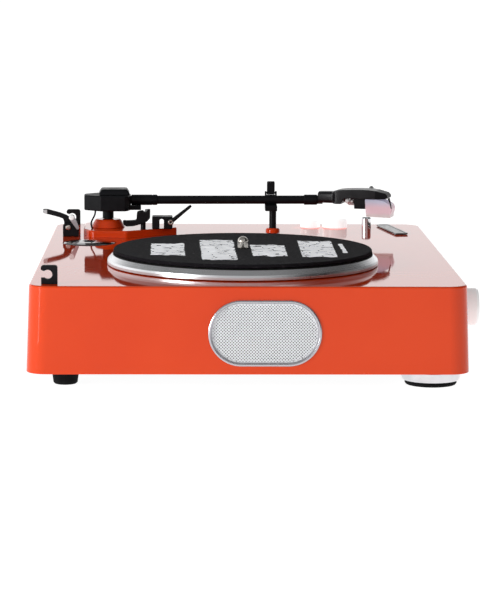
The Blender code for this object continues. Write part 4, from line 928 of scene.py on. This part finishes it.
def tonearm():
    arm = arm_place()
    top = box_mm("tonearm_turret")[1].z
    stalk = lathe(((0, 84.9), (4.15, 84.9, 0.4), (4.15, top + 0.3), (2.6, top + 0.3), (2.6, 67.0), (0, 67.0)),
                  ROUND, 0.2)
    pin = at(0, 0, GIMBAL_Z) @ turn(90, "Y")
    add("arm_yoke", stalk, "black", "arm_swing", arm, "tonearm_yoke",
        joins=[(block((-5.5, -5, 84.3), (5.5, 5, 91), 0.5), arm)],
        cuts=[(bore(1.5, 12), arm @ pin)])
    bar = lathe(((0, 14.5), (0.8, 14.5), (1.2, 14.0), (1.2, -14.0), (0.8, -14.5), (0, -14.5)), SMALL, 0.1)
    add("gimbal_bar", bar, "steel", "arm_swing", arm @ pin, "gimbal_pin")

    outline = eased(((5.5, 17.8), (-5.5, 17.8), (-15.5, 5.6), (-15.5, -12.6), (-13, -15), (-6.5, -17),
                     (6.5, -17),
                     (13, -15), (15.5, -12.6), (15.5, 5.6)), 1.2)
    along = at(0, 0, ARM_Z) @ turn(90, "X")
    add("arm_block", prism(outline, 84.0, 95.4, 1.1, 4), "black", "arm", arm, "arm_housing",
        joins=[(block((-5, -24.6, 84.0), (5, -14, 87.2), 0.4), arm)],
        cuts=[(block((-7.5, -10, 80), (7.5, 10, 92.6), 0), arm),
              (bore(1.5, 14.8), arm @ pin),
              (lathe(((0, 20), (3.45, 20), (3.45, 11.3), (0, 11.3)), ROUND), arm @ along)])
    levels = ((9.9, 11.3, 1.2, 95.7), (10, 11.3, 1.2, 95.9), (9.9, 11.2, 1.2, 97.1), (8.6, 9.9, 1.6, 99.2),
              (8.2, 9.5, 1.6, 99.7), (7.5, 8.8, 1.4, 99.9))
    lid = [[(x, y - 4.7, z) for x, y, z in rounded_rectangle(*level, 6)] for level in levels]
    add("arm_cap_fine", loft(lid), "black", "arm", arm, "arm_cap", sharp=50)
    tube = ((0, 161), (3.15, 161), (3.15, 156.9), (3.5, 156.9, 0.1), (3.85, 156.5, 0.2), (3.85, 147.4, 0.2),
            (3.5, 147.0, 0.1),
            (3.15, 147.0), (3.15, 36.9), (3.6, 36.8, 0.1), (3.95, 36.2, 0.4), (3.95, 33.6), (3.75, 33.4),
            (3.75, 32.9), (3.95, 32.7),
            (3.95, 17.5, 0.3), (3.15, 17.5), (3.15, 11.6), (0, 11.6))
    add("arm_tube_fine", lathe(tube, 48), "black", "arm", arm @ along, "arm_tube")

    head = arm @ at(0, -HEAD_START) @ Matrix.Rotation(HEAD_TURN, 4, "Z")
    loops = [superellipse(half, low, high, SQUARE if step > NECK_END else SOFT, step) for step, half, low,
             high in SHELL_SECTIONS]
    nose_loops = [superellipse(half, low, high, SQUARE, step) for step, half, low, high in NOSE_SECTIONS]
    lever = ((4, -38.5, 98.6), (8.0, -38.5, 98.8), (10.4, -38.4, 99.1), (12.4, -38.2, 99.5),
             (13.6, -38.0, 99.9))
    add("headshell_fine", loft(loops), "shell", "arm", head, "headshell", sharp=36,
        joins=[(rod(smooth_line(lever, 5), 1.75, 20), head)],
        cuts=[(lathe(((0, HEAD_START + 4), (3.45, HEAD_START + 4), (3.45, HEAD_START - 2),
                      (0, HEAD_START - 2)), ROUND), arm @ along)])
    add("headshell_nose", loft(nose_loops), "black", "arm", head, sharp=36)
    for index, x in enumerate((-1.0, 1.0)):
        screw = lathe(((0, 0.9), (1.2, 0.9), (1.5, 0.5), (1.5, -0.4), (0, -0.4)), SMALL, 0.12)
        bar = block((-2, -0.25, 0.35), (2, 0.25, 2), 0)
        place = head @ at(x * 4.6, -31.5, 99.55)
        add(f"head_screw_{index}", screw, "steel", "arm", place, cuts=[(bar, place @ turn(30 + 70 * index))])

    nose = eased(((-36, 92.5), (-46, 91.0), (-52, 83.6), (-51.6, 82.4), (-36, 86.6)), 0.5)
    add("cartridge_body", block((-6.6, -38.0, 86.0), (6.6, -29.6, 94.0), 0.6), "black", "arm", head,
        "cartridge")
    add("stylus_holder", prism(nose, -2.4, 2.4, 0.4), "stylus", "arm", head @ SIDE)
    tip = rod(((0, -50.4, 83.4), (0, -52.4, 82.2), (0, -53.4, 81.7)), (0.35, 0.3, 0.2), 12)
    add("stylus_tip", tip, "nickel", "arm", head)
    for index, (x, z) in enumerate(((-4.6, 91.2), (-1.6, 89.4), (1.6, 89.4), (4.6, 91.2))):
        lug = lathe(((0, 28.7), (0.9, 28.7), (1.25, 28.3), (1.25, 24.6), (0.8, 23.8), (0, 23.8)), SMALL, 0.2)
        add(f"signal_lug_{index}", lug, "lug", "arm", head @ at(x, 0, z) @ turn(90, "X"))
        wire = smooth_line(((x, -24.2, z), (x * 0.9, -22.9, z + 0.5), (x * 0.6, -21.0, z + 1.6),
                            (x * 0.5, -18.5, 92.0)), 5)
        add(f"signal_wire_{index}", rod(wire, 0.42, 12), ("stylus", "lug", "board", "jack_white")[index],
            "arm", head)
    blob = lathe([(0, 1.9), (1.1, 1.7), (1.7, 0.9), (1.9, 0.0), (1.7, -0.9), (1.1, -1.7), (0, -1.9)], SMALL,
                 0.5)
    add("signal_clip", blob, "lug", "arm", head @ at(-6.0, -24.6, 91.6) @ turn(90, "Y"))

    outside = eased(((-37.6, 93.4), (-46, 93.6), (-52, 92.6, 2.5), (-57.4, 90.0, 3.0), (-58.6, 86.5, 3.0),
                     (-57.6, 83.0, 2.0),
                     (-57.2, 80.0, 0.7), (-38.8, 80.4, 0.7)), 0.7, count=5)
    inside = block((-5.2, -56.2, 81.4), (5.2, -34, 99), 0.8)
    add("guard_shell", prism(outside, -6.2, 6.2, 0.6), "guard", "guard", head @ SIDE, "stylus_guard",
        cuts=[(inside, head)])
    brace = rod(smooth_line(((-6.5, -56.2, 94.6), (-6.55, -57.3, 91.4), (-6.5, -58.2, 87.2)), 5),
                (0.9, 0.8, 0.7, 0.65, 0.6, 0.55, 0.5, 0.45, 0.4, 0.4, 0.4), 12)
    add("guard_brace", brace, "black", "guard", head)


def signal_lead():
    """The thin lead from the swinging arm down into its base."""
    arm = arm_place()
    start, end = arm @ Vector((-0.0102, 0.0094, 0.0850)), arm @ Vector((-0.0125, 0.0118, 0.0705))
    path = smooth_line((start / MM, (start + Vector((-0.0008, 0.0006, -0.0040))) / MM,
                        (end + Vector((0.0002, 0.0008, 0.0050))) / MM, end / MM), 8)
    item = add("signal_lead", rod(path, 0.62, 16), "rubber", "root")
    item.parent = None
    return item, start, end


def arm_rest():
    place = upright("arm_rest_ring")
    top, low = box_mm("arm_rest_ring")[1].z, box_mm("arm_rest_ring")[0].z
    ring = ((2.95, top), (4.3, top, 0.5), (5.3, top - 1.1, 0.8), (5.3, low), (2.95, low))
    add("rest_ring", lathe(ring, ROUND, 0.3), "orange", "root", place, "arm_rest_ring")
    column = lathe(((0, 84), (2.65, 84), (2.65, low), (0, low)), ROUND)
    cradle = eased(((107.2, 83.2), (121.4, 83.2), (121.4, 96.2), (120.7, 97.2), (118.5, 97.2), (117.9, 96.2),
                    (117.9, 87.0),
                    (116.8, 85.4), (111.2, 85.4), (110.2, 87.5), (107.2, 87.5)), 0.7)
    near, far = 19.1, 28.1
    centre = (near + far) / 2
    hinge = JOINTS["rest_clip_swing"]["pos_m"]
    pin = at(hinge[0] / MM, -centre, hinge[2] / MM) @ turn(90, "X")
    add("rest_post", column, "black", "root", place, "arm_rest_post",
        joins=[(prism(cradle, near, far, 0.5), FRONT)],
        cuts=[(block((110, -centre - 3.3, 94.4), (125, -centre + 3.3, 100), 0), Matrix()),
              (bore(1.0, 8), pin)])
    tab = [rounded_rectangle(half, 2.95 - shrink, 0.6, z, 5) for half, shrink, z in
           ((0.7, 0.3, -1.2), (0.9, 0, -0.9), (0.9, 0, 4.5), (1.0, 0, 7.6), (0.85, 0.2, 8.4),
            (0.5, 0.6, 8.7))]
    add("rest_clip_fine", loft(tab), "black", "rest_clip", at(hinge[0] / MM, -centre, hinge[2] / MM),
        "arm_rest_clip",
        joins=[(lathe(((0, 4.3), (0.5, 4.3), (0.7, 4.1), (0.7, -4.1), (0.5, -4.3), (0, -4.3)), SMALL), pin)])


def cueing():
    low, high = box_mm("cue_bracket")
    slot = eased(((56.65, 60), (59.95, 60), (59.95, 78.9, 1.6), (56.65, 78.9, 1.6)), 0.0, count=8)
    add("cue_bracket_fine", block(low, high, 0.8, 4), "black", "root", nodes="cue_bracket",
        cuts=[(prism(slot, low.x - 5, high.x + 5), SIDE)])
    px, py, pz = Vector(JOINTS["cue_lever_tilt"]["pos_m"]) / MM
    tip = Vector((0, 36.6 - py, 89.0 - pz))
    disc = lathe(((0, 1.3), (1.9, 1.3), (2.3, 0.9), (2.3, -1.3), (0, -1.3)), ROUND, 0.15)
    stick = rod([tip * share for share in (0.0, 0.3, 0.6, 0.8, 0.93, 1.0)],
                (1.6, 1.45, 1.25, 1.15, 1.15, 0.85), 24)
    place = at(px, py, pz)
    add("cue_lever_fine", disc, "black", "cue_lever", place @ turn(90, "Y"), "cue_lever",
        joins=[(stick, place)])
    ring = lathe(((0.75, -1.55), (1.7, -1.55), (1.95, -1.35), (1.95, -1.1), (0.75, -1.1)), ROUND, 0.1)
    add("cue_pivot_ring", ring, "nickel", "cue_lever", place @ turn(90, "Y"))
    saddle = eased(((76.6, 84.3, 1.5), (76.9, 78.0, 1.6), (84.4, 77.6, 3.0), (87.2, 78.0, 0.9),
                    (86.6, 74.8, 1.6), (84.5, 73.4, 2.5),
                    (79.5, 73.6, 4.0), (73.2, 75.2, 4.0), (69.0, 77.2, 3.0), (66.8, 79.6, 2.0),
                    (66.8, 86.2, 1.0),
                    (68.6, 86.0, 0.8), (69.6, 84.2, 1.0), (71.4, 84.2, 1.0), (72.2, 85.3, 0.8)), 0.8, count=5)
    low, high = box_mm("cue_lift")
    add("cue_saddle", prism(saddle, 90, 96, 0.35), "black", "cue_lift", SIDE, "cue_lift",
        joins=[post(1.9, (93.5, 72), 67.5, 78, SMALL)])
    add("cue_bar", block((96 + TOUCH, 67.0, 81.6), (high.x, 71.0, 84.0), 0.4), "black", "cue_lift")


# ---- controls and trim
def controls():
    knob = Vector(JOINTS["front_knob_turn"]["pos_m"]) / MM
    face = -box_mm("front_knob")[0].y
    radius = (box_mm("front_knob")[1].x - box_mm("front_knob")[0].x) / 2
    profile = ((0, face - 0.45), (radius - 3.2, face - 0.4), (radius - 2.4, face, 0.5),
               (radius - 0.9, face - 0.3, 0.8), (radius, face - 1.8, 1.0),
               (radius, 142.6), (radius - 0.5, 142.1), (3.2, 142.1), (3.2, 133.0), (0, 133.0))
    place = at(knob.x, 0, knob.z) @ turn(90, "X")
    add("volume_knob", lathe(profile, 96, 0.25), "white", "front_knob", place, "front_knob",
        cuts=[(block((-0.35, radius - 5.5, face - 0.9), (0.35, radius - 1.2, face + 1), 0), place)])
    for name in ("selector_small", "selector_large"):
        radius, base, top = round_box(name)
        profile = ((0, top - 0.25), (radius - 2.6, top - 0.2), (radius - 1.9, top, 0.4),
                   (radius - 0.7, top - 0.3, 0.6), (radius, top - 1.6, 0.8),
                   (radius, DECK_Z + 0.7), (radius - 0.3, DECK_Z + 0.4), (2.5, DECK_Z + 0.4), (2.5, base),
                   (0, base))
        place = upright(name)
        add(name + "_knob", lathe(profile, 96, 0.2), "selector", name, place, name,
            cuts=[(block((-0.3, radius - 4.2, top - 0.7), (0.3, radius - 1.0, top + 1), 0), place)])
    _, base, top = round_box("power_button")
    profile = ((0, top), (2.4, top - 0.12), (3.2, top - 0.5, 0.4), (3.6, top - 1.3, 0.6), (3.6, base),
               (0, base))
    add("push_button", lathe(profile, ROUND, 0.2), "chrome", "power_button", upright("power_button"),
        "power_button")


def trim():
    low, high = box_mm("badge_plate")
    place = at(132, -116.5) @ turn(9.8)
    outline = eased(((-29, -5), (29, -5), (29, 5), (-29, 5)), 1.5, count=6)
    recess = eased(((-27.6, -3.6), (27.6, -3.6), (27.6, 3.6), (-27.6, 3.6)), 0.8, count=4)
    add("blank_badge", prism(outline, low.z, high.z, 0.3), "badge", "root", place, "badge_plate",
        cuts=[(prism(recess, high.z - 0.25, high.z + 1), place)])
    radius, base, top = round_box("adapter_45")
    profile = ((3.75, top - 0.3, 0.3), (6.0, top, 0.8), (11.0, top - 0.1, 4.0), (16.5, top - 0.6, 3.0),
               (18.4, top - 1.1, 1.0), (radius, top - 1.8, 0.4),
               (radius, base + 0.4), (radius - 0.4, base), (3.75, base))
    add("centre_adapter", lathe(profile, FINE, 0.2), "gunmetal", "adapter", upright("adapter_45"),
        "adapter_45")


def lid_hardware():
    for side in ("left", "right"):
        low, high = box_mm(f"lid_hinge_clip_{side}")
        mouth, notch, centre = 2.2, 2.95, (127.9, 72.3)
        back, front, top = high.y, low.y, high.z
        open_angle = math.degrees(math.asin(mouth / notch))
        outline = [(back - 0.2, low.z - 0.2), (back - 0.2, centre[1] - mouth)]
        outline += list(reversed(arc(centre, notch, open_angle, 360 - open_angle, 40)))
        outline += [(back - 1.6, centre[1] + mouth)]
        outline += arc((back - 1.9, top - 1.9), 1.9, -40, 90, 12)
        outline += arc((front + 1.8, top - 1.8), 1.8, 90, 180, 10)
        outline += [(front, low.z - 0.2)]
        add(f"hinge_clip_{side}", prism(outline, low.x, high.x, 0.25, 2), "black", "root", SIDE,
            f"lid_hinge_clip_{side}")

    px, py, pz = Vector(JOINTS["lid_stay_swing"]["pos_m"]) / MM
    low, high = box_mm("lid_stay_bracket")
    outline = eased(((low.y, low.z - 0.3), (high.y, low.z - 0.3), (high.y, 74.2, 1.0), (130.0, 75.8, 1.0),
                     (124.6, high.z, 1.2), (low.y, 72.6, 0.8)), 0.2)
    pin = at(px, py, pz) @ turn(90, "Y")
    add("stay_bracket", prism(outline, low.x, high.x, 0.5), "black", "root", SIDE, "lid_stay_bracket",
        cuts=[(block((px - 1.6, 110, 68.6), (px + 1.6, 140, 80), 0), Matrix()),
              (bore(1.5, 10), pin)])
    flat = ((-1.6, -2.6, 1.0), (1.6, -2.6, 1.0), (3.2, -0.6, 1.5), (3.2, 4.2, 1.5), (4.0, 6.2, 1.0),
            (6.8, 7.3, 2.0), (9.8, 8.1, 3.0), (18.6, 10.4),
            (18.6, 13.3), (15.5, 13.3), (6.1, 10.8, 3.0), (1.2, 8.9, 3.0), (-1.4, 7.0, 2.0), (-2.7, 2.4, 2.0),
            (-2.7, -1.0, 1.0))
    stay = at(px, py, pz)
    add("stay_arm", prism(eased(flat, 0.4, count=5), -1.2, 1.2, 0.3), "black", "lid_stay", stay @ SIDE,
        "lid_stay_arm",
        cuts=[(bore(1.5, 5), stay @ turn(90, "Y"))])
    tip = eased(((15.4, 9.35), (19.0, 10.4, 1.2), (19.0, 12.9, 1.2), (15.4, 13.2)), 0.2, count=5)
    add("stay_tip", prism(tip, -1.5, 1.5, 0.4), "steel", "lid_stay", stay @ SIDE)
    rivet = lathe(((0, 5.0), (1.5, 5.0), (1.9, 4.7), (1.9, 4.3), (1.2, 4.3), (1.2, -4.4), (0, -4.4)), SMALL,
                  0.1)
    add("stay_rivet", rivet, "nickel", "lid_stay", stay @ turn(-90, "Y"), "lid_stay_pin")
    first, last = (-2.7, 7.6), (-7.0, -0.2)
    lean = math.degrees(math.atan2(last[1] - first[1], last[0] - first[0]))
    strap = arc(first, 2.2, lean + 70, lean + 290, 24) + arc(last, 1.1, lean - 80, lean + 80, 16)
    add("stay_link", prism(strap, -6.4, -5.3, 0.2, 2), "silver", "lid_stay", stay @ SIDE, "lid_stay_link")
    bush = lathe(((0, 6.9), (1.5, 6.9), (2.0, 6.4), (2.1, 5.0), (2.1, 1.5), (0, 1.5)), SMALL, 0.15)
    add("stay_bush", bush, "white", "lid_stay", stay @ at(0, first[0], first[1]) @ turn(-90, "Y"))


# ---- stage, light and camera
def floor():
    """A large pale floor that glows a little, with a painted shadow under the cabinet where its glow and
    colour fade.
    """
    work = bmesh.new()
    bmesh.ops.create_grid(work, x_segments=8, y_segments=8, size=FLOOR_REACH)
    item = raw_object("floor", work, Matrix())
    material, tree, shader, coords = new_look("floor_look", Roughness=0.9, IOR=1.2)
    split = node(tree, "SeparateXYZ", {0: coords}).outputs
    out_x = maths(tree, "SUBTRACT", maths(tree, "ABSOLUTE", split[0]), CASE_X * MM)
    out_y = maths(tree, "SUBTRACT", maths(tree, "ABSOLUTE", split[1]), CASE_Y * MM)
    outside = maths(tree, "MAXIMUM", out_x, out_y)
    # painted shadow: under the cabinet the floor loses its glow and turns darker, standing in for the shade
    # there
    glow = soft_range(tree, outside, *SHADE_EDGE)
    painted_floor_shadow = blend_colour(tree, glow, (0.10, 0.10, 0.10), (0.35, 0.35, 0.35))
    link_in(tree, shader, {
        "Base Color": painted_floor_shadow, "Emission Color": (1.0, 1.0, 1.0, 1.0),
        "Emission Strength": maths(tree, "MULTIPLY", glow, FLOOR_GLOW)})
    item.data.materials.append(material)


def surroundings():
    """A white room: bright low down behind the player, dimmer overhead and on the near side."""
    world = bpy.data.worlds.new("studio")
    bpy.context.scene.world = world
    world.use_nodes = True
    tree = world.node_tree
    direction = node(tree, "TexCoord").outputs["Generated"]
    split = node(tree, "SeparateXYZ", {0: direction}).outputs

    def by_height(stops):
        ramp = node(tree, "ValToRGB", {"Fac": split[2]})
        points = ramp.color_ramp.elements
        while len(points) < len(stops):
            points.new(0.5)
        for point, (place, level) in zip(points, stops):
            point.position = place
            point.color = (level / 2, level / 2, level / 2, 1.0)
        return ramp.outputs["Color"]

    beyond = by_height(((0.0, FAR_GLOW), (0.24, FAR_GLOW), (0.5, 0.42), (0.8, 0.25), (1.0, 0.25)))
    near = by_height(((0.0, 0.5), (0.14, 0.62), (0.5, 0.52), (0.68, 0.36), (1.0, 0.24)))
    share = soft_range(tree, split[0], -0.25, 0.35)
    beside = soft_range(tree, split[1], -0.85, -0.12, 0.05)
    behind = soft_range(tree, split[1], -0.75, -0.25, 0.12)
    near = blend_colour(tree, beside, (0.0, 0.0, 0.0), near)
    beyond = blend_colour(tree, behind, (0.0, 0.0, 0.0), beyond)
    link_in(tree, tree.nodes["Background"], {"Color": blend_colour(tree, share, near, beyond),
                                             "Strength": 2.0})


def softbox(name, place, target, size, watts):
    lamp = bpy.data.lights.new(name, "AREA")
    lamp.shape = "RECTANGLE"
    lamp.size, lamp.size_y = size
    lamp.energy = watts
    lamp.spread = math.radians(120)
    item = bpy.data.objects.new(name, lamp)
    bpy.context.scene.collection.objects.link(item)
    item.location = place
    item.rotation_euler = (Vector(target) - Vector(place)).to_track_quat("-Z", "Y").to_euler()


def camera():
    lens = bpy.data.cameras.new("camera")
    lens.lens = CAMERA_LENS
    lens.sensor_width = 36.0
    lens.clip_start, lens.clip_end = 0.05, 200.0
    item = bpy.data.objects.new("camera", lens)
    bpy.context.scene.collection.objects.link(item)
    forward = Vector((math.cos(CAMERA_TILT) * math.cos(CAMERA_YAW),
                      -math.cos(CAMERA_TILT) * math.sin(CAMERA_YAW),
                      -math.sin(CAMERA_TILT)))
    right = forward.cross(Vector((0, 0, 1))).normalized()
    upward = right.cross(forward)
    rolled = right * math.cos(CAMERA_ROLL) + upward * math.sin(CAMERA_ROLL)
    raised = upward * math.cos(CAMERA_ROLL) - right * math.sin(CAMERA_ROLL)
    item.matrix_world = Matrix.Translation(CAMERA_PLACE) @ Matrix((rolled, raised,
                                                                   -forward)).transposed().to_4x4()
    bpy.context.scene.camera = item


for make in (camera, cabinet, feet, speakers, sockets, platter, arm_base, tonearm):
    make()
lead, lead_start, lead_end = signal_lead()
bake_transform(lead)
for make in (arm_rest, cueing, controls, trim, lid_hardware, floor, surroundings):
    make()
for lamp in SOFTBOXES:
    softbox(*lamp)
bpy.context.scene.view_settings.view_transform = "Standard"
